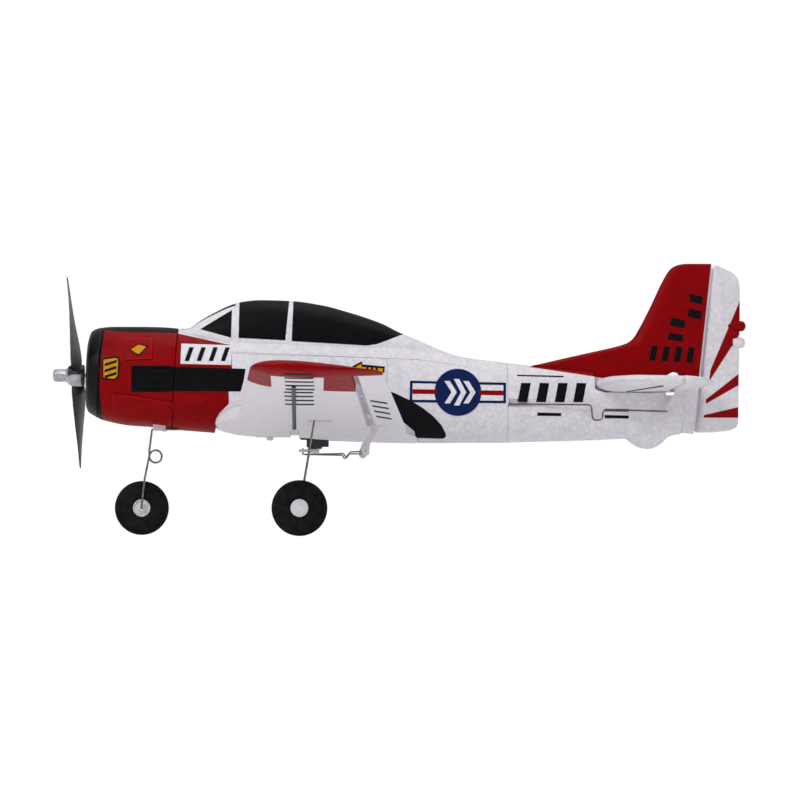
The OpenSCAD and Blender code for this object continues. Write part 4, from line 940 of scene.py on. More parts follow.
fus_sta = ends(-110.4, 139, 2.4, .45, .2)
fus_sta = sorted(fus_sta + [((a[0] + b[0]) / 2, 0) for a, b in zip(fus_sta[:-4], fus_sta[1:-3]) if a[0] > 107])
cavVF = cavity()
sadVF = saddle()
FUSO = {}
for side, nm in ((1, "right"), (-1, "left")):
    VF = loft([ring(x, o, y0=.02) for x, o in fus_sta])
    if side < 0:
        VF = mirror(VF)
    o = raw("fuselage_foam_" + nm, *VF)
    boolean(o, cavVF)
    boolean(o, prism_xz(Zc(0), -30, 30))
    boolean(o, sadVF)
    boolean(o, prism_xz([(63.5, 83.3), (95.2, 80.6), (95.2, 78.5), (140, 78.5), (140, 95), (63.5, 95)], -12, 12))
    boolean(o, box((95.75, -30, 70.1), (145, 30, 95)))
    boolean(o, box((131.0, -30, 68.9), (145, 30, 95)))
    boolean(o, prism_xy([(-104.06, -20.66), (-59.94, -18.86), (-59.94, 18.86), (-104.06, 20.66)], 66.44, 67.76))
    boolean(o, prism_xy([(-60, -16.46), (4.06, -14.56), (4.06, 14.56), (-60, 16.46)], 81.34, 82.66))
    if side < 0:
        boolean(o, prism_xz([(5, 63.3), (66.8, 62.8), (66.8, 66.7), (5, 67.3)], -15.0, -13.5))
        boolean(o, box((-113.6, -6.6, 50), (-108.6, -5.0, 52.9)))
    else:
        boolean(o, prism_xz([(0, 64.3), (101, 61.5), (101, 64.8), (0, 67.6)], 10.8, 14.9))
    FUSO[nm] = place(o, M["fus"], "airframe", ["fuselage_" + nm])

# full outer skins used to lay decals on
skin_f = raw("skin_tmp", *loft([ring(x, o, full=True) for x, o in fus_sta]))
B_fus = bvh_of(skin_f)

hat = raw("canopy_hatch_foam", *loft([ring(x, o, full=True) for x, o in fus_sta if x < 36] + [ring(36, 0, full=True)]))
boolean(hat, prism_xz(Zc(.12), -30, 30), "INTERSECT")
boolean(hat, loft([ring(x, 3.4, full=True, res=(8, 5, 8)) for x in [-104] + list(np.arange(-101, 22, 5)) + [28]]))
place(hat, M["hatch"], "hatch", ["canopy_hatch"])

cow_sta = ends(-147.45, -110.55, 1.6, .4, .45)
cow = raw("cowl_foam", *loft([ring(x, o, full=True) for x, o in cow_sta]))
boolean(cow, loft([ring(x, 3.2, full=True, res=(10, 6, 8)) for x in (-146, -142, -136, -130, -124, -118, -109.4)]))
boolean(cow, cyl((-152, 0, 79.6), (-144.6, 0, 79.6), 18.7, 64))
boolean(cow, box((-121.6, -8.6, 48), (-115.2, 8.6, 55.1)))
boolean(cow, box((-123.2, -6.6, 48), (-108, -5.0, 52.9)))
skin_c = raw("skin_tmp2", *loft([ring(x, o, full=True) for x, o in cow_sta]))
B_cowl = bvh_of(skin_c)


# ------------------------------------------------------------------ patches laid on a surface
def inside(p, poly):
    c = False
    n = len(poly)
    for i in range(n):
        a, b = poly[i], poly[(i + 1) % n]
        if (a[1] > p[1]) != (b[1] > p[1]) and p[0] < (b[0] - a[0]) * (p[1] - a[1]) / (b[1] - a[1]) + a[0]:
            c = not c
    return c


def rounded(pts, r, n=5):
    out = []
    m = len(pts)
    for i in range(m):
        a, b, c = Vector(pts[i - 1]), Vector(pts[i]), Vector(pts[(i + 1) % m])
        d1, d2 = a - b, c - b
        f = min(r, d1.length * .45, d2.length * .45)
        s, e = b + d1.normalized() * f, b + d2.normalized() * f
        for t in np.linspace(0, 1, n):
            out.append(tuple(s * (1 - t) ** 2 + b * 2 * t * (1 - t) + e * t * t))
    return out


def patch_vf(outline, bvh, t=.06, g=1.8, axis="y", sgn=-1, sink=.12, round_top=0.0):
    pts = []
    n = len(outline)
    for i in range(n):
        a, b = Vector(outline[i]), Vector(outline[(i + 1) % n])
        k = max(1, int(math.ceil((b - a).length / g)))
        pts += [a.lerp(b, j / k) for j in range(k)]
    clean = []
    for p in pts:
        if not clean or (p - clean[-1]).length > 1e-3:
            clean.append(p)
    if (clean[0] - clean[-1]).length < 1e-3:
        clean.pop()
    pts = clean
    m = len(pts)
    xs = np.arange(min(p.x for p in pts) + g * .5, max(p.x for p in pts), g)
    ys = np.arange(min(p.y for p in pts) + g * .5, max(p.y for p in pts), g)
    pl = [tuple(p) for p in pts]
    seg = np.array(pl)
    extra = []
    for x in xs:
        for y in ys:
            if inside((x, y), pl) and np.min(np.hypot(seg[:, 0] - x, seg[:, 1] - y)) > g * .4:
                extra.append(Vector((x, y)))
    V2, E2, F2, _, _, _ = delaunay_2d_cdt(pts + extra, [(i, (i + 1) % m) for i in range(m)], [], 1, 1e-6)
    top, bot = [], []
    for v in V2:
        if axis == "y":
            o, d = Vector((v.x, sgn * 120, v.y)), Vector((0, -sgn, 0))
        elif axis == "x":
            o, d = Vector((-300, v.x, v.y)), Vector((1, 0, 0))
        else:
            o, d = Vector((v.x, v.y, sgn * 200 + 60)), Vector((0, 0, -sgn))
        hit, nor, _, _ = bvh.ray_cast(o, d)
        if hit is None:
            hit, nor, _, _ = bvh.find_nearest(o + d * 100)
        if nor.dot(d) > 0:
            nor = -nor
        top.append(tuple(hit + nor * t))
        bot.append(tuple(hit - nor * sink))
    F = [tuple(f) for f in F2]
    cnt = {}
    for f in F:
        for i in range(len(f)):
            e = (f[i], f[(i + 1) % len(f)])
            cnt[e] = cnt.get(e, 0) + 1
    k = len(top)
    side = [(a, b, b + k, a + k) for (a, b) in cnt if (b, a) not in cnt]
    return top + bot, F + [tuple(i + k for i in f[::-1]) for f in F] + side


def decal(name, outlines, bvh, mat, body, t=.06, axis="y", sides=(-1, 1), g=1.8, sink=.12, ang=30, bev=0):
    for s in sides:
        o = make(name + ("_l" if s < 0 else "_r"), join_vf(*[patch_vf(p, bvh, t, g, axis, s, sink) for p in outlines]), mat, body, (), ang)
        if bev:
            bevel(o, bev, 2)


def PP(pts, h):
    return [P(x, y, h) for x, y in pts]


# exhaust panel, side panels
for s in (-1, 1):
    q = PP([(131.2, 366.9), (171.2, 391.4)], h20)
    boolean(cow, patch_vf([(q[0][0] + .35, q[1][1] + .35), (q[1][0], q[1][1] + .35), (q[1][0], q[0][1] - .35), (q[0][0] + .35, q[0][1] - .35)], B_cowl, 2.0, 1.4, "y", s, .85))
place(cow, M["cowl"], "airframe", ["cowl"])
for s in (-1, 1):
    q = PP([(131.2, 366.9), (171.2, 391.4)], h20)
    x0, z1, x1, z0 = q[0][0], q[0][1], q[1][0], q[1][1]
    nm = "_l" if s < 0 else "_r"
    # dished tray with a raised rim
    vf = [patch_vf([(x0, z0), (x1, z0), (x1, z1), (x0, z1)], B_cowl, -.6, 1.4, "y", s, 1.5)]
    make("exhaust_tray" + nm, join_vf(*vf), M["black"], "airframe")
    rim = []
    for (a, b) in (((x0, z1), (x1, z1)), ((x0, z0), (x1, z0)), ((x0 + .3, z0), (x0 + .3, z1)), ((x1 - .2, z0), (x1 - .2, z1))):
        d = Vector((b[0] - a[0], b[1] - a[1])).normalized()
        n = Vector((-d.y, d.x)) * .45
        rim.append(patch_vf([(a[0] + n.x, a[1] + n.y), (b[0] + n.x, b[1] + n.y), (b[0] - n.x, b[1] - n.y), (a[0] - n.x, a[1] - n.y)], B_cowl, .16, 1.4, "y", s, 1.1))
    bevel(make("exhaust_rim" + nm, join_vf(*rim), M["black"], "airframe"), .12, 2)
    ribs = []
    for yy in (372.7, 379.3, 385.9):
        (a0, zc), (a1, _) = P(140, yy, h20), P(165, yy, h20)
        ribs.append(patch_vf(rounded([(a0, zc - .55), (a1, zc - .55), (a1, zc + .55), (a0, zc + .55)], .5), B_cowl, .28, .7, "y", s, 1.0))
    bevel(make("exhaust_ribs" + nm, join_vf(*ribs), M["black"], "airframe"), .22, 3)
    lip = []
    for yy in (369.4, 376, 382.6, 389.2):
        (a0, zc) = P(133.4, yy, h20)
        lip.append(patch_vf(rounded([(a0 - .7, zc - .9), (a0 + 1.3, zc - .4), (a0 + 1.3, zc + .5), (a0 - .7, zc + .3)], .2), B_cowl, .1, .7, "y", s, 1.0))
    bevel(make("exhaust_pipes" + nm, join_vf(*lip), M["black"], "airframe"), .15, 2)

decal("side_field", [PP([(180.6, 343.6), (231.4, 345.2), (230.6, 365.2), (180, 364.2)], h20)], B_fus, M["ltwhite"], "airframe", .14)
bars = []
for i, x in enumerate((184.5, 196.5, 208.5, 220.5)):
    bars.append(PP([(x + 4.2, 347.4), (x + 8.6, 347.6), (x + 4.0, 361.4), (x - .4, 361.2)], h20))
decal("side_field_bars", bars, B_fus, M["black"], "airframe", .24)

# raised plates on the cowl
plate = rounded(PP([(124.2, 338.8), (151.8, 338.2), (151.6, 359.8), (124.2, 360.4)], h20), .5)
decal("cowl_plate", [plate], B_cowl, M["redp"], "airframe", .66, g=1.5, bev=.3)
low = PP([(111.8, 393.6), (130, 395.6), (150, 398.6), (176.6, 403.6), (176.8, 422.4), (140, 417.8), (112.4, 414.4)], h20)
decal("cowl_lower_panel", [rounded(low, .8)], B_cowl, M["redp"], "airframe", .62, g=1.5, bev=.3)
# lighter red for thin strips on the plate and panel edges: painted highlight where the raised edges catch the light
M["redlight"] = sticker("painted_highlight_red", lin(176, 26, 34), lin(160, 14, 22))


# thin lighter-red strips along a line of points: painted highlight on raised edges
def painted_highlight_strip(name, pts, bvh, t, w=.34):
    vfs = []
    for a, b in zip(pts[:-1], pts[1:]):
        a, b = P(a[0], a[1], h20), P(b[0], b[1], h20)
        d = Vector((b[0] - a[0], b[1] - a[1])).normalized()
        n = Vector((-d.y, d.x)) * w / 2
        vfs.append([(a[0] + n.x, a[1] + n.y), (b[0] + n.x, b[1] + n.y), (b[0] - n.x, b[1] - n.y), (a[0] - n.x, a[1] - n.y)])
    decal(name, vfs, bvh, M["redlight"], "airframe", t, g=1.5, bev=.08)


# painted highlight strips along the raised plate and lower panel edges
painted_highlight_strip("cowl_plate_edge", [(124.8, 339.6), (151.2, 339.0), (151.0, 359.2), (125.0, 359.8)], B_cowl, .70)
painted_highlight_strip("cowl_panel_edge", [(112.8, 413.6), (112.4, 394.4), (130, 396.3), (150, 399.3), (171, 403.2)], B_cowl, .66)
oval = [(192.5 + 14.5 * math.cos(a) * (1 - .10 * math.sin(a)), 398.6 + 5.8 * math.sin(a)) for a in np.linspace(0, 2 * math.pi, 28, endpoint=False)]
decal("side_oval", [PP(oval, h20)], B_fus, M["redp"], "airframe", .45, bev=.28)
# plain shapes where the nose art was
n1 = [(102, 358.5), (117.5, 356.4), (120, 360), (119, 377.6), (115, 381), (102.2, 379.8)]
decal("nose_mark_edge", [rounded(PP(n1, 20), .8)], B_cowl, M["black"], "airframe", .12)
n2 = [(103.4, 360.2), (116.6, 358.4), (118.2, 361), (117.4, 376.4), (114.2, 379.2), (103.6, 378.2)]
decal("nose_mark", [rounded(PP(n2, 20), .6)], B_cowl, M["yellow"], "airframe", .20)
n3 = []
for k in range(3):
    y = 361.6 + 6 * k
    n3.append(PP([(104.6, y + 2.6), (116.6, y - 1.2), (116.6, y + 1.4), (104.6, y + 5.2)], 20))
decal("nose_mark_bars", n3, B_cowl, M["black"], "airframe", .27)
d1 = [(128.6, 350.6), (138.2, 344.2), (147.8, 347.2), (138.2, 356.8)]
decal("plate_mark_edge", [rounded(PP(d1, h20), .5)], B_cowl, M["black"], "airframe", .76)
d2 = [(130.4, 350.6), (138.2, 345.6), (145.8, 347.8), (138.2, 355.2)]
decal("plate_mark", [rounded(PP(d2, h20), .4)], B_cowl, M["yellow"], "airframe", .84)

# rear fuselage marks: barred disc, blocks and a wedge
def circ(cx, cy, r, n=48):
    return [(cx + r * math.cos(a), cy + r * math.sin(a)) for a in np.linspace(0, 2 * math.pi, n, endpoint=False)]


hr = 17.5
bar_o = [(409.4, 380.8), (506.2, 382.4), (505.8, 403.2), (409.0, 402.4)]
decal("disc_bar_edge", [PP(bar_o, hr)], B_fus, M["navy"], "airframe", .12)
decal("disc_bar_white", [PP([(412, 383.4), (436, 383.8), (436, 400), (411.8, 399.8)], hr), PP([(479, 384.6), (503.4, 385), (503.2, 400.6), (479, 400.4)], hr)], B_fus, M["ltwhite"], "airframe", .18)
decal("disc_bar_red", [PP([(412, 389.3), (436, 389.6), (436, 394.2), (411.9, 394)], hr), PP([(479, 390.2), (503.3, 390.5), (503.2, 395.2), (479, 394.9)], hr)], B_fus, M["redp"], "airframe", .24)
decal("disc", [PP(circ(457.6, 392.2, 23.6), hr)], B_fus, M["navy"], "airframe", .22)
chev = []
for k in range(3):
    x = 444 + 9.5 * k
    chev.append([(x, 379 + 2.0 * (k != 1)), (x + 5.4, 379 + 2.0 * (k != 1)), (x + 12.4, 392.2), (x + 5.4, 405.4 - 2.0 * (k != 1)), (x, 405.4 - 2.0 * (k != 1)), (x + 7, 392.2)])
decal("disc_chevrons", [PP(c, hr) for c in chev], B_fus, M["ltwhite"], "airframe", .30)
blocks = []
for i in range(4):
    x = 517 + 18.6 * i
    blocks.append(PP([(x + 4, 382.8), (x + 13.6, 383.0), (x + 9.8, 402.2), (x + .2, 402.0)], 13.5 - .8 * i))
decal("tail_blocks", blocks, B_fus, M["black"], "airframe", .12)
small = [PP([(517, 374.6), (564, 375.6), (564, 376.9), (517, 375.9)], 12.5), PP([(537, 412.6), (561, 413.0), (561, 416.0), (537, 415.8)], 12.5),
         PP([(604.5, 408.6), (629, 409), (629, 411.6), (604.5, 411.2)], 9.5), PP([(604.5, 415), (629, 415.4), (629, 418.4), (604.5, 418)], 9.5)]
decal("tail_small_bars", small, B_fus, M["black"], "airframe", .12)
wedge = [(386, 390.5), (395, 393.8), (410, 400.8), (422, 408), (433, 416.5), (441, 425), (445.5, 433), (446, 436.5), (443, 438.4), (415.6, 437.6), (414, 431), (403.5, 422.7), (390, 405)]
decal("wing_wake_wedge", [rounded(PP(wedge, 16), .5)], B_fus, M["black"], "airframe", .14, g=1.3)
arrow_o = [(352, 366.2), (361, 361.2), (362, 364.4), (384.4, 366.4), (384, 372.6), (352, 371.4)]
decal("arrow_edge", [PP(arrow_o, 20.5)], B_fus, M["black"], "airframe", .12)
decal("arrow", [PP([(355.6, 366.6), (360.4, 363.6), (361.2, 366.8), (366, 367.3), (366, 370.6), (355.8, 370)], 20.5), PP([(377.4, 368), (382.6, 368.4), (382.4, 371.6), (377.2, 371.3)], 20.5), PP([(368, 367.4), (370.4, 367.6), (370.4, 370.8), (368, 370.6)], 20.5), PP([(372.6, 367.8), (375, 368), (375, 371.1), (372.6, 370.9)], 20.5)], B_fus, M["yellow"], "airframe", .20)

# ------------------------------------------------------------------ cowl ring, engine face, drive
rings = []
for x, o in [(-147.6, .3), (-147.75, .1), (-148.2, 0), (-148.9, 0), (-149.6, 0), (-150.4, 0), (-151.1, 0), (-151.7, 0), (-152.2, 0), (-152.6, 0), (-152.9, 0), (-153.2, 0), (-153.5, 0), (-153.75, 0), (-153.9, 0)]:
    rings.append(ring(x, o, full=True, res=(20, 12, 16)))
base = np.array(rings[-1])
cen = np.array([0, 0, 79.4])


def inner(x, r):
    out = []
    for p in base:
        d = np.array([0, p[1], p[2] - 79.4])
        L = np.hypot(d[1], d[2])
        out.append((x, d[1] / L * r, 79.4 + d[2] / L * r))
    return out


for x, k in ((-154.05, .965), (-154.0, .94), (-153.8, .92)):
    rings.append([(base[i][0] + (x + 153.9), base[i][1] * k, 79.4 + (base[i][2] - 79.4) * k) for i in range(len(base))])
rings += [inner(-153.3, 15.35), inner(-152.6, 15.2), inner(-151.2, 15.3), inner(-149.5, 16.6), inner(-147.6, 18.6)]
make("cowl_ring_black", loft(rings, True), M["ringblk"], "airframe", ["cowl_ring"], 50)

eng = [cyl((-145.9, 0, 79.6), (-144.8, 0, 79.6), 18.6, 72), cyl((-146.7, 0, 79.3), (-145.8, 0, 79.3), 16.6, 72)]
eng.append(lathe([(0, .5), (0, 3.62), (.2, 4.6), (.5, 5.4), (1.0, 6.0), (1.9, 6.2)], (-148.6, 0, 78.6), (1, 0, 0), 48))
make("engine_face_plate", join_vf(*eng), M["engine"], "airframe", ["engine_face"])
cylv = []
for a in range(9):
    th = rad(a * 40)
    for k in range(9):
        r0 = 7.0 + 1.02 * k
        wv = 2.35 - .07 * k
        c = []
        for rr in (r0, r0 + .55):
            for yy in (-wv, wv):
                c.append((yy, rr))
        b = box((-147.75 + .03 * k, -wv, r0), (-146.5, wv, r0 + .52))
        cylv.append(([(v[0], v[1] * math.cos(th) - v[2] * math.sin(th), 79.3 + v[1] * math.sin(th) + v[2] * math.cos(th)) for v in b[0]], b[1]))
    b = box((-147.3, -1.75, 6.4), (-146.5, 1.75, 16.2))
    cylv.append(([(v[0], v[1] * math.cos(th) - v[2] * math.sin(th), 79.3 + v[1] * math.sin(th) + v[2] * math.cos(th)) for v in b[0]], b[1]))
make("engine_cylinders", join_vf(*cylv), M["engine"], "airframe")

prof = [(0, .05), (0.02, .9), (.08, 1.7), (.25, 2.3), (.55, 2.75), (.95, 3.0), (1.5, 3.13), (2.2, 3.18), (6.0, 3.18), (6.4, 3.24), (6.7, 3.42), (7.1, 3.8), (7.6, 4.35), (8.3, 4.9), (9.1, 5.25), (10.0, 5.42), (13.7, 5.45), (14.0, 5.38), (14.2, 5.2), (14.2, 3.5), (8.0, 3.4), (7.9, .05)]
sp = raw("spinner_silver", *lathe(prof, (-171, 0, 78.6), (1, 0, 0), 72))
R50 = Matrix.Rotation(rad(50), 3, "X")


def rot50(VF):
    return [tuple(R50 @ Vector(v) + Vector((0, 0, 78.6))) for v in VF[0]], VF[1]


boolean(sp, rot50(box((-163.4, -3.25, -8), (-156, 3.25, 8))))
place(sp, M["silver"], "propeller_group", ["spinner"], 35)

BL = [(1.2, 3.6, 44, 2.0), (5, 6.4, 44, 2.1), (9, 7.8, 45, 1.9), (15, 9.4, 40, 1.5), (23, 10.0, 34, 1.2), (32, 9.8, 28, 1.05), (43, 8.6, 21, .9), (55, 6.2, 16, .8), (64, 3.8, 13, .7), (69, 1.8, 12, .6), (70, .6, 12, .4)]
PH = -161.9


def blade_ring(r):
    c, a, t = [float(pchip([b[0] for b in BL], [b[k] for b in BL], r)[0]) for k in (1, 2, 3)]
    a = rad(a)
    out = []
    us = [0, .03, .1, .2, .35, .5, .65, .8, .92, 1]
    up = [(u - .5, (nfoil(u) if u > 0 else 0) * .62) for u in us]
    lo = [(u - .5, -(nfoil(u) if u > 0 else 0) * .34) for u in us[-2:0:-1]]
    camber = lambda u: .35 * (1 - (2 * u) ** 2)
    for q0, q1 in up + lo:
        v, n = q0 * c, (q1 + camber(q0)) * t * .9
        out.append((PH + 1.0 + lk(r, [(0, .8), (6, 1.2), (14, 1.9), (26, 1.8), (48, 1.0), (70, 0)]) + v * math.sin(a) + n * math.cos(a), -v * math.cos(a) + n * math.sin(a), r))
    return out


bl = loft([blade_ring(r) for r in [1.2, 3, 5, 7, 9, 12, 15, 19, 23, 27, 32, 37, 43, 49, 55, 60, 64, 67, 69, 69.7, 70]])
bl2 = ([(v[0], -v[1], -v[2]) for v in bl[0]], bl[1])
hubp = lathe([(0, .05), (0, 3.1), (.2, 3.3), (5.2, 3.3), (5.25, 4.9), (5.45, 5.2), (7.1, 5.2), (7.3, 5.0), (7.3, 1.02), (7.2, .05)], (-162.9, 0, 0), (1, 0, 0), 48)
make("propeller_blades", rot50(join_vf(bl, bl2)), M["prop"], "propeller_group", ["propeller"], 60)
make("propeller_hub", ([(v[0], v[1], v[2] + 78.6) for v in hubp[0]], hubp[1]), M["servo"], "propeller_group")

# ------------------------------------------------------------------ wing
B_wing = {}
B_ail = {}
for side, nm in ((1, "right"), (-1, "left")):
    vf = loft([wing_ring(h) for h in HS])
    o = raw("wing_foam_" + nm, *vf)
    hb = [43.6, 190.8]
    boolean(o, prism_xy([(h_x(hb[0]) - .5, hb[0]), (20, hb[0]), (20, hb[1]), (h_x(hb[1]) - .5, hb[1])], 30, 110))
    boolean(o, box((-46.2, -1, 40), (-30.8, 4.2, 56.2)))
    boolean(o, box((-49.2, -1, 40), (-30.8, 4.2, 48.0)))
    boolean(o, box((-54.1, -1, 40), (-49.9, 31.6, 52.5)))
    boolean(o, box((-45.1, 58.4, 40), (-33.9, 63.6, 60.2)))
    boolean(o, box((-71.1, -1, 40), (-58.4, 7.1, 49.3)))
    # spar groove, open below
    g0 = [(-52.95, 31.5, 45), (-51.05, 31.5, 45), (-51.05, 31.5, 53.1), (-52.95, 31.5, 53.1)]
    g1 = [(-52.95, 166, 60), (-51.05, 166, 60), (-51.05, 166, 69.3), (-52.95, 166, 69.3)]
    boolean(o, loft([g0, g1]))
    if side < 0:
        for v in o.data.vertices:
            v.co.y = -v.co.y
    place(o, M["wing"], "airframe", ["wing_" + nm])
    t = raw("wtmp", *(vf if side > 0 else mirror(vf)))
    B_wing[side] = bvh_of(t)
    bpy.data.objects.remove(t)
    hs = [45.5, 45.62, 45.9] + list(np.linspace(48, 187.5, 22)) + [189.6, 189.88, 190]
    rr = [ail_ring(h, {45.5: .35, 45.62: .12, 189.88: .12, 190: .35}.get(h, 0)) for h in hs]
    a = loft(rr)
    make("aileron_foam_" + nm, a if side > 0 else mirror(a), M["ail"], "aileron_r" if side > 0 else "aileron_l", ["aileron_" + nm])
    t = raw("atmp", *(a if side > 0 else mirror(a)))
    B_ail[side] = bvh_of(t)
    bpy.data.objects.remove(t)

# where a place in the side view meets the lower face of the near wing
def WU(px, py):
    a, b = 40.0, 197.0
    for _ in range(40):
        h = (a + b) / 2
        x = PX(px, h)
        u = min(1, max(0, (x - w_le(h)) / (w_te(h) - w_le(h))))
        if w_lo(h, u) < PZ(py, h):
            a = h
        else:
            b = h
    return x, h


def wing_marks(name, quads, bvhs, mats, bodies_, t):
    for s in (-1, 1):
        vfs = []
        for q in quads:
            vfs.append(patch_vf([(WU(*c)[0], s * WU(*c)[1]) for c in q], bvhs[s], t, 4.0, "z", -1, .15))
        make(name + ("_l" if s < 0 else "_r"), join_vf(*vfs), mats, bodies_[s])


wm_q = []
for y0, y1, n in ((373.6, 388.6, 5), (391.6, 403.6, 4)):
    for i in range(n):
        y = y0 + (y1 - y0) * i / (n - 1)
        wm_q.append([(283.5 + .4 * i, y), (312.5 + .4 * i, y + .4), (312.5 + .4 * i, y + 1.5), (283.5 + .4 * i, y + 1.1)])
wing_marks("wing_mark_bars", wm_q, B_wing, M["black"], {-1: "airframe", 1: "airframe"}, .14)
am_q = []
for i in range(4):
    am_q.append([(369.5 + 2.0 * i, 400.0 + 5.2 * i), (386.5 + 1.4 * i, 402.6 + 5.2 * i), (387.0 + 1.4 * i, 404.0 + 5.2 * i), (370.0 + 2.0 * i, 401.4 + 5.2 * i)])
wing_marks("aileron_mark_bars", am_q, B_ail, M["black"], {-1: "aileron_l", 1: "aileron_r"}, .14)

for s, body in ((-1, "aileron_l"), (1, "aileron_r")):
    for k, (p, q) in enumerate(((47, 92), (96, 104), (108, 188))):
        rows = []
        for h in np.linspace(p, q, 12):
            x = h_x(h)
            u = lambda xx: w_up(h, (xx - w_le(h)) / (w_te(h) - w_le(h)))
            top = [(xx, s * h, u(xx) - .06) for xx in np.linspace(x - .7, x + .7, 7)]
            bot = [(xx, s * h, u(xx) - .5) for xx in np.linspace(x + .7, x - .7, 7)]
            rows.append(top + bot)
        o = raw("aileron_hinge_skin_%s%d" % ("l" if s < 0 else "r", k), *loft(rows))
        fin_obj(o, M["white"])
        a, b = (h_x((p + q) / 2) - .5, h_x((p + q) / 2) + .5)
        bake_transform(o)
        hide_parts("aileron_hinges")

make("spar_rods", join_vf(*[tube([(-52, s * 31.7, 52.0), (-52, s * 165.5, 67.9)], .75, n=16) for s in (-1, 1)]), M["carbon"], "airframe", ["spars"])
o = make("wing_clip_white", prism_yz([(-31.4, 52.3), (-31.4, 50.9), (-12, 49.3), (12, 49.3), (31.4, 50.9), (31.4, 52.3)], -54, -50), M["clear"], "airframe", ["wing_clip"])
bevel(o, .3)
o = make("belly_plate_white", join_vf(box((-71, -7, 48.2), (-58.5, 7, 49.2))), M["clear"], "airframe", ["belly_plate"])
bevel(o, .35)
make("belly_stud", lathe([(0, .05), (.02, .6), (.15, 1.1), (.45, 1.5), (.9, 1.72), (1.6, 1.78), (2.0, 1.78)], (-64.2, 0, 46.5), (0, 0, 1), 36), M["clear"], "airframe")

# ------------------------------------------------------------------ tail
FZ = [83.5, 85, 87, 89, 90.5, 91.8, 92.8, 93.6, 94.3, 95, 96, 97, 98.5, 100, 102, 105, 109, 113, 118, 123, 127, 129.5, 131, 132, 132.8, 133.4, 133.8, 134.1, 134.2]
fn = raw("fin_foam", *loft([fin_ring(z) for z in FZ]))
boolean(fn, prism_xz([(64.8, 83.35), (95.3, 80.75), (95.3, 78.65), (fin_x1(78.65), 78.65), (fin_x1(84), 84), (66.8, 84)], -3.3, 3.3), "UNION")
boolean(fn, prism_xz([(139.15, 50.6), (fin_x1(50), 50), (fin_x1(80), 80), (139.15, 80)], -3.3, 3.3), "UNION")
boolean(fn, prism_xz([(95.9, 73.2), (100, 75.6), (106, 77.6), (114, 78.4), (114, 79.4), (95.9, 79.4)], -3.3, 3.3), "UNION")
arch = [(131.6, 60), (139.0, 60), (139.0, 76), (138.6, 78.6), (137.4, 80.1), (135.6, 80.6), (133.6, 79.9), (131.6, 78.6)]
boolean(fn, prism_xz(arch, -10, 10))
place(fn, M["fin"], "airframe", ["fin"])
B_fin = bvh_of(fn)

RZ = [50.6, 50.8, 51.2, 51.6, 52.3, 53.4, 54.8, 57, 60, 64, 70, 78, 86, 94, 103, 112, 120, 123, 126, 127.7, 129.4, 130.8, 131.8, 132.4, 132.9, 133.2, 133.4]
rk = {50.6: .55, 50.8: .85, 133.2: .88, 133.4: .6}
rd = raw("rudder_foam", *loft([rud_ring(z, rk.get(z, 1)) for z in RZ]))
tilt = Matrix.Rotation(rad(6.493), 3, "Y")
cb = box((1.9, 0, -.68), (8.2, 8, .68))
boolean(rd, ([tuple(tilt @ Vector(v) + Vector((146.84, 0, 62.5))) for v in cb[0]], cb[1]))
place(rd, M["rud"], "rudder_group", ["rudder"])
B_rud = bvh_of(rd)

stb = raw("stabiliser_foam", *loft([st_ring(y) for y in [-82, -81.7, -81, -79.5, -77.5, -74, -66, -56, -44, -32, -20, -12, 0, 12, 20, 32, 44, 56, 66, 74, 77.5, 79.5, 81, 81.7, 82]]))
for s in (-1, 1):
    boolean(stb, cyl((111, s * 14, 71.0), (124, s * 62, 72.1), .82, 16))
place(stb, M["tail"], "airframe", ["stabiliser"])
make("stabiliser_rods", join_vf(*[tube([(111.1, s * 14.4, 70.9), (123.9, s * 61.6, 71.95)], .75) for s in (-1, 1)]), M["carbon"], "airframe", ["stabiliser_rod"])
ys = [9.2, 9.35, 9.8, 20, 32, 44, 56, 66, 72, 76, 79, 80.8, 81.4, 81.6]
ek = {9.2: .8, 9.35: .95, 81.4: .8, 81.6: .5}
elv = raw("elevator_foam", *loft([el_ring(y, ek.get(y, 1)) for y in ys]))
boolean(elv, loft([el_ring(-y, ek.get(y, 1)) for y in ys[::-1]]), "UNION")
boolean(elv, box((133.4, -9.6, EHZ - 1.5), (137.8, 9.6, EHZ + 1.5)), "UNION")
boolean(elv, box((134.4, -13.75, 60), (142.1, -12.65, 72.4)))
place(elv, M["tail"], "elevator_group", ["elevator"])

for k, (a, b) in enumerate(((12, 34), (38, 58), (62, 76))):
    for s in (-1, 1):
        y0, y1 = (a, b) if s > 0 else (-b, -a)
        rows = [[(x, y, EHZ + .2) for x in np.linspace(EHX - .62, EHX + .62, 6)] + [(x, y, EHZ - .2) for x in np.linspace(EHX + .62, EHX - .62, 6)] for y in np.linspace(y0, y1, 8)]
        o = raw("elevator_hinge_skin_%s%d" % ("l" if s < 0 else "r", k), *loft(rows))
        fin_obj(o, M["white"])
        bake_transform(o)
        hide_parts("elevator_hinge")
for k, (a, b) in enumerate(((51.4, 78), (78.4, 132.2))):
    rows = [[(fin_x1(z) + x, -.2, z) for x in np.linspace(-.12, 1.12, 6)] + [(fin_x1(z) + x, .2, z) for x in np.linspace(1.12, -.12, 6)] for z in np.linspace(a, b, 8)]
    o = raw("rudder_hinge_skin_%d" % k, *loft(rows))
    fin_obj(o, M["white"])
    zc = (a + b) / 2
    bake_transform(o)
    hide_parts("rudder_hinge")

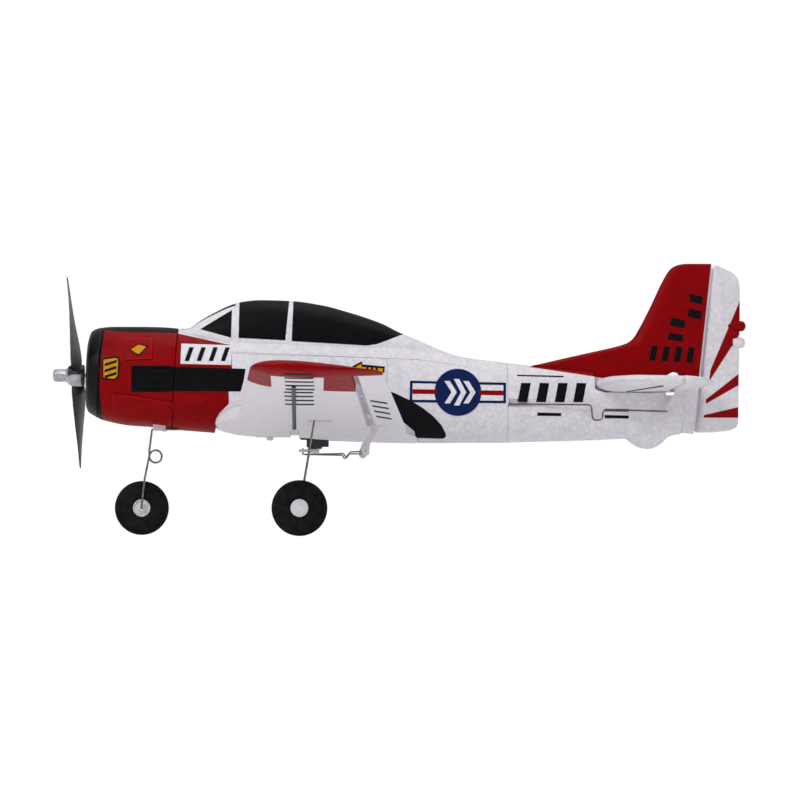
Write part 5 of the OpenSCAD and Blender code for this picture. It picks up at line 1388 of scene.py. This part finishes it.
lens_r = foam("light_pod_red", lambda g: g.ramp(g.z, -10, -9), None, bead=0, seed=11)
lens_w = foam("light_pod_white", lambda g: g.ramp(g.x, 164.9, 164.6), None, bead=.2, seed=12)
for i, (x, z, mt) in enumerate(((169.0, 103.3, lens_r), (168.7, 95.0, lens_w))):
    r = []
    for t in np.linspace(0, 1, 22):
        xx = -9.4 + 11.8 * t
        q = 2.6 * math.sqrt(max(0, 1 - ((t - .80) / (.80 if t < .8 else .2)) ** 2)) if t > 0 else 0
        r.append((xx, max(q, .05)))
    vf = lathe(r, (x, 0, z), (1, 0, 0), 32)
    make("light_pod_%d" % i, vf, mt, "rudder_group", ["tail_lights"], 60)

# fin marks
fm = [[(690, 293), (704, 296), (703.2, 304), (691, 301)], [(689.6, 308), (702.6, 310.6), (701.6, 319), (688.4, 316)],
      [(672, 317), (686, 320), (685, 328), (670.6, 325)], [(669.6, 332), (684, 334.6), (683, 341), (668, 339)]]
decal("fin_bars_upper", [PP(q, 3) for q in fm], B_fin, M["black"], "airframe", .12)
fl = []
for i in range(4):
    x = 649 + 12.4 * i
    fl.append(PP([(x + 3.2, 345.4 + i * .5), (x + 9.4, 346 + i * .5), (x + 6.4, 360.6 + i * .6), (x + .2, 360 + i * .6)], 3))
decal("fin_bars_lower", fl, B_fin, M["black"], "airframe", .12)

# ------------------------------------------------------------------ control linkages
o = make("aileron_servo_case", box((-46.1, -4.1, 43.4), (-35.2, 4.1, 56.1)), M["servo"], "airframe", ["aileron_servo"])
bevel(o, .35)
o = raw("aileron_servo_ears", *box((-49.1, -4.1, 46.9), (-30.9, 4.1, 47.9)))
for x in (-47.7, -32.6):
    boolean(o, cyl((x, 0, 46), (x, 0, 49), .6, 20))
place(o, M["servo"], "airframe")
make("aileron_servo_turret", join_vf(lathe([(0, 3.4), (.2, 3.6), (1.3, 3.6)], (-42, 0, 42.4), (0, 0, 1), 36), cyl((-42, 0, 41), (-42, 0, 43.5), 1.2, 24)), M["servo"], "airframe")
o = raw("aileron_arm_plate", *prism_xy(rounded([(-41.2, -2.2), (-42.5, -2.3), (-49.2, -2.3), (-50, -1.5), (-50, 1.5), (-49.2, 2.3), (-42.5, 2.3), (-41.2, 2.2)], .4), 40.9, 42.2))
for s in (-1, 1):
    boolean(o, cyl((-48, s * 1.3, 40), (-48, s * 1.3, 43), .4, 16))
place(o, M["clear"], "ail_arm", ["aileron_arm"])
bevel(o, .12, 2)
make("aileron_arm_boss", lathe([(0, 1.0), (.05, 1.9), (.25, 2.2), (2.0, 2.25), (2.0, 1.3), (.4, 1.25), (.4, 1.0)], (-42, 0, 40.3), (0, 0, 1), 36, True), M["clear"], "ail_arm")
for s, b, nm in ((-1, "ail_rod_l", "left"), (1, "ail_rod_r", "right")):
    make("aileron_rod_" + nm, tube([(-48, s * 1.3, 42.7), (-48, s * 1.3, 39.7), (-28.2, s * 30.0, 39.7), (-27.3, s * 31.1, 38.2), (-26.1, s * 32.9, 38.2), (-25.2, s * 34.0, 40.4), (-18.4, s * 43.2, 40.6), (-17.7, s * 44.15, 40.6)], .35, .9, 12), M["rod"], b, ["aileron_pushrod_" + nm])
    hn = rounded([(-15.2, 55.9), (-8.6, 55.4), (-7.8, 53.9), (-10.8, 52.4), (-15.6, 44.0), (-16.0, 38.9), (-17.8, 38.2), (-19.6, 39.4), (-19.4, 42.4), (-15.4, 51.6)], .6, 4)
    y0, y1 = (44.5, 45.4) if s > 0 else (-45.4, -44.5)
    o = raw("aileron_horn_plate_" + nm, *prism_xz(hn, y0, y1))
    for z in (40.6, 43.1):
        boolean(o, cyl((-17.6, -50, z), (-17.6, 50, z), .42, 16))
    place(o, M["clear"], "aileron_l" if s < 0 else "aileron_r", ["aileron_horn_" + nm])
    bevel(o, .1, 2)

EP, EV = (-8, 78.4), (-1.6, -13.6)
ex0, ez0 = EHX + EV[0], EHZ + EV[1]
make("elevator_rod_wire", tube([(EP[0] + EV[0], -12.5, 64.8), (EP[0] + EV[0], -14.3, 64.8), (93.6, -14.3, 63.9), (94.1, -14.3, 56.4), (98.9, -14.3, 56.4), (99.4, -14.3, 61.6), (ex0, -14.3, ez0), (ex0, -12.4, ez0)], .4, 1.9, 14), M["rod"], "elev_rod", ["elevator_pushrod"])
o = raw("elevator_horn_plate", *prism_xz(rounded([(134.5, 72.3), (142, 72.3), (142, 69.2), (139.2, 67.6), (133.2, 62.8), (132.4, 57.6), (130.2, 56.6), (128.8, 58.0), (129.0, 62.6), (134.5, 69.4)], .5, 4), -13.7, -12.7))
boolean(o, cyl((ex0, -20, ez0), (ex0, 20, ez0), .45, 16))
boolean(o, cyl((ex0 - .2, -20, ez0 - 2.6), (ex0 - .2, 20, ez0 - 2.6), .45, 16))
place(o, M["clear"], "elevator_group", ["elevator_horn"])
bevel(o, .1, 2)
RL = 13.6
d = Vector((math.sin(rad(6.493)), 0, math.cos(rad(6.493))))
ra, rb = Vector((-7, RL, 66.8)), Vector((146.82, RL, 62.5))
make("rudder_rod_wire", tube([ra + d * .9, ra - d * .95, rb - d * 1.15, rb + d * .95], .4, .8, 14), M["rod"], "rud_rod", ["rudder_pushrod"])
hp = prism_xy(rounded([(2.2, 1.6), (8, 1.4), (8, 4.2), (3.4, 9), (1.6, RL + 1.2), (-.4, RL + 1.8), (-1.6, RL + .4), (-1.4, RL - 2.4), (0.3, 8), (2.2, 3.6)], .4, 4), -.6, .6)
o = raw("rudder_horn_plate", [tuple(tilt @ Vector(v) + Vector((146.84, 0, 62.5))) for v in hp[0]], hp[1])
boolean(o, cyl(rb - d * 3, rb + d * 3, .45, 16))
place(o, M["clear"], "rudder_group", ["rudder_horn"])
bevel(o, .1, 2)

# ------------------------------------------------------------------ landing gear
WZ = 13.3


def tyre_vf(c):
    R, W = 13.3, 9.0
    pr = [(-2.9, 4.3), (-3.5, 4.6), (-3.75, 5.3), (-4.1, 6.0), (-4.5, 7.0), (-4.5, 9.9), (-4.3, 11.2), (-3.75, 12.2), (-2.9, 12.9), (-1.8, 13.22), (0, 13.3)]
    pr = pr + [(-a, r) for a, r in pr[-2::-1]]
    return lathe(pr, c, (0, 1, 0), 96, True)


def hub_vf(c, s, cap):
    # s: outward direction along Y
    if cap:
        pr = [(-3.3, .6), (-3.3, 3.6), (-3.1, 4.28), (3.6, 4.28), (3.95, 4.1), (4.05, 3.7), (4.1, 2.0), (4.1, .02)]
        return lathe([(a * s, r) for a, r in pr], c, (0, 1, 0), 56)
    pr = [(-4.1, .6), (-4.1, 1.6), (-3.9, 1.8), (-3.1, 1.85), (-2.6, 2.2), (-2.5, 3.4), (-3.1, 3.7), (-3.25, 4.0), (-3.1, 4.28), (3.1, 4.28), (3.25, 4.0), (3.1, 3.7), (2.5, 3.4), (2.6, 2.2), (3.1, 1.85), (3.9, 1.8), (4.1, 1.6), (4.1, .6)]
    return lathe([(a * s, r) for a, r in pr], c, (0, 1, 0), 56, True)


NXX, MXX, MYY = -127.2, -49.5, 66
for nm, c, b, cap, s in (("nose", (NXX, 0, WZ), "nose_wheel", False, -1), ("main_l", (MXX, -MYY, WZ), "main_wheel_l", True, -1), ("main_r", (MXX, MYY, WZ), "main_wheel_r", True, 1)):
    node = {"nose": "nose", "main_l": "main_left", "main_r": "main_right"}[nm]
    tn, hn = (("nose_tyre", "nose_hub") if nm == "nose" else ("main_tyre_" + node[5:], "main_hub_" + node[5:]))
    make("tyre_foam_" + nm, tyre_vf(c), M["tyre"], b, [tn], 50)
    make("wheel_hub_" + nm, hub_vf(c, s, cap), M["hub"], b, [hn], 40)

nw = [(-109.4, -5.8, 51.9), (-122, -5.8, 51.9), (-123.4, -5.8, 41.0)]
coil = []
cx, cz, cr = -120.25, 38.6, 3.05
for t in np.linspace(180, 180 + 372, 34):
    a = rad(t)
    coil.append((cx + cr * math.cos(a), -5.8 - .95 * (t - 180) / 372, cz - cr * math.sin(a) * 1.0))
pts = nw + coil + [(-124.6, -6.6, 32.5), (-125.6, -6.0, 27.7), (NXX, -5.8, WZ), (NXX, 3.8, WZ)]
make("nose_gear_wire_steel", tube(pts, .5, .7, 14), M["wire"], "airframe", ["nose_gear_wire"])
o = raw("nose_gear_clamp", *box((-121.5, -8.5, 51.4), (-115.3, 8.5, 55.0)))
boolean(o, cyl((-125, -5.8, 51.9), (-105, -5.8, 51.9), .53, 16))
place(o, M["clear"], "airframe", ["nose_gear_plate"])
bevel(o, .2, 2)
make("main_gear_wire_steel", join_vf(*[tube([(-34.6, s * 61, 55.9), (-42.3, s * 61, 55.9), (MXX, s * 60.1, WZ), (MXX, s * 68.2, WZ)], .5, 1.1, 14) for s in (-1, 1)]), M["wire"], "airframe", ["main_gear_wires"])
gm = []
for s in (-1, 1):
    o = raw("gear_mount_" + ("l" if s < 0 else "r"), *box((-45, min(s * 58.5, s * 63.5), 56.2), (-34, max(s * 58.5, s * 63.5), 60.1)))
    boolean(o, box((-43.0, s * 61 - .6, 50), (-34.9, s * 61 + .6, 57.6)))
    place(o, M["clear"], "airframe", ["gear_mounts"])
    bevel(o, .2, 2)

# ------------------------------------------------------------------ carried-over nodes
for node, mat in {"gearbox": "gearbox", "motor": "can", "pinion": "brass", "spur_gear": "nylon", "prop_shaft": "steel", "elevator_servo": "servoblue", "elevator_arm": "clear", "rudder_servo": "servoblue", "rudder_arm": "clear", "equipment_tray": "tray", "battery": "batt", "battery_strap": "strap", "control_board": "pcb", "wiring": "lead", "screws": "steel", "hatch_magnets": "magnet"}.items():
    ob = frame["nodes"][node]
    ob.data.materials.clear()
    ob.data.materials.append(M[mat])
    for p in ob.data.polygons:
        p.use_smooth = False
    if node not in ("wiring", "prop_shaft", "spur_gear", "pinion", "screws", "hatch_magnets"):
        bevel(ob, .2, 2)

for n in ("skin_tmp", "skin_tmp2"):
    bpy.data.objects.remove(bpy.data.objects[n])

# ------------------------------------------------------------------ stage, lights, camera
sc = bpy.context.scene
sc.view_settings.view_transform = "Standard"
sc.view_settings.look = "None"
g = G("studio_floor")
n = g.noise(40, 3)
stage_mat = g.done(g.mix(n, (.90, .90, .90), (.86, .86, .865)), .8)
em = g.add("ShaderNodeEmission")
em.inputs[0].default_value = (1, 1, 1, 1)
em.inputs[1].default_value = 1.12
lp = g.add("ShaderNodeLightPath")
mx = g.add("ShaderNodeMixShader")
g.t.links.new(g.m("MULTIPLY_ADD", lp.outputs["Is Camera Ray"], .70, .18), mx.inputs[0])
g.t.links.new(g.b.outputs[0], mx.inputs[1])
g.t.links.new(em.outputs[0], mx.inputs[2])
g.t.links.new(mx.outputs[0], g.out.inputs[0])
prof = [(-3.0, -.0004), (1.6, -.0004)] + [(1.6 + 1.4 * math.sin(a), -.0004 + 1.4 * (1 - math.cos(a))) for a in np.linspace(.1, math.pi / 2, 14)] + [(3.0, 4.5)]
V = [(x, y, z) for x in (-5, 5) for y, z in prof]
q = len(prof)
me = bpy.data.meshes.new("studio_floor")
me.from_pydata(V, [], [(i, i + 1, q + i + 1, q + i) for i in range(q - 1)])
me.polygons.foreach_set("use_smooth", [True] * len(me.polygons))
me.materials.append(stage_mat)
floor = bpy.data.objects.new("studio_floor", me)
bpy.context.scene.collection.objects.link(floor)
w = bpy.data.worlds.new("studio")
sc.world = w
w.use_nodes = True
bg = w.node_tree.nodes["Background"]
bg.inputs[0].default_value = (1, 1, 1, 1)
wl = w.node_tree.nodes.new("ShaderNodeLightPath")
wm = w.node_tree.nodes.new("ShaderNodeMapRange")
wm.inputs[3].default_value, wm.inputs[4].default_value = .31, 1.0
w.node_tree.links.new(wl.outputs["Is Camera Ray"], wm.inputs[0])
w.node_tree.links.new(wm.outputs[0], bg.inputs[1])


def area(name, loc, target, size, power, col=(1, 1, 1)):
    L = bpy.data.lights.new(name, "AREA")
    L.energy, L.size, L.color = power, size, col
    L.shape = "SQUARE"
    o = bpy.data.objects.new(name, L)
    sc.collection.objects.link(o)
    o.location = loc
    o.rotation_mode = "QUATERNION"
    o.rotation_quaternion = (Vector(target) - Vector(loc)).to_track_quat("-Z", "Y")


area("key", (-.75, -1.0, 1.1), (0, 0, .07), .6, 10)
area("top", (.1, .1, 1.3), (0, 0, .07), .9, 5.4)
area("fill", (1.0, -1.2, .35), (0, 0, .07), .8, 2.0)

cam = bpy.data.cameras.new("camera")
cam.lens, cam.sensor_width = 164.1, 36
co = bpy.data.objects.new("camera", cam)
sc.collection.objects.link(co)
co.location = (-.0466, -1.8, .0148)
co.rotation_mode = "QUATERNION"
co.rotation_quaternion = (Vector((0, 0, .0666)) - Vector(co.location)).to_track_quat("-Z", "Y")
cam.clip_start, cam.clip_end = .01, 100
sc.camera = co
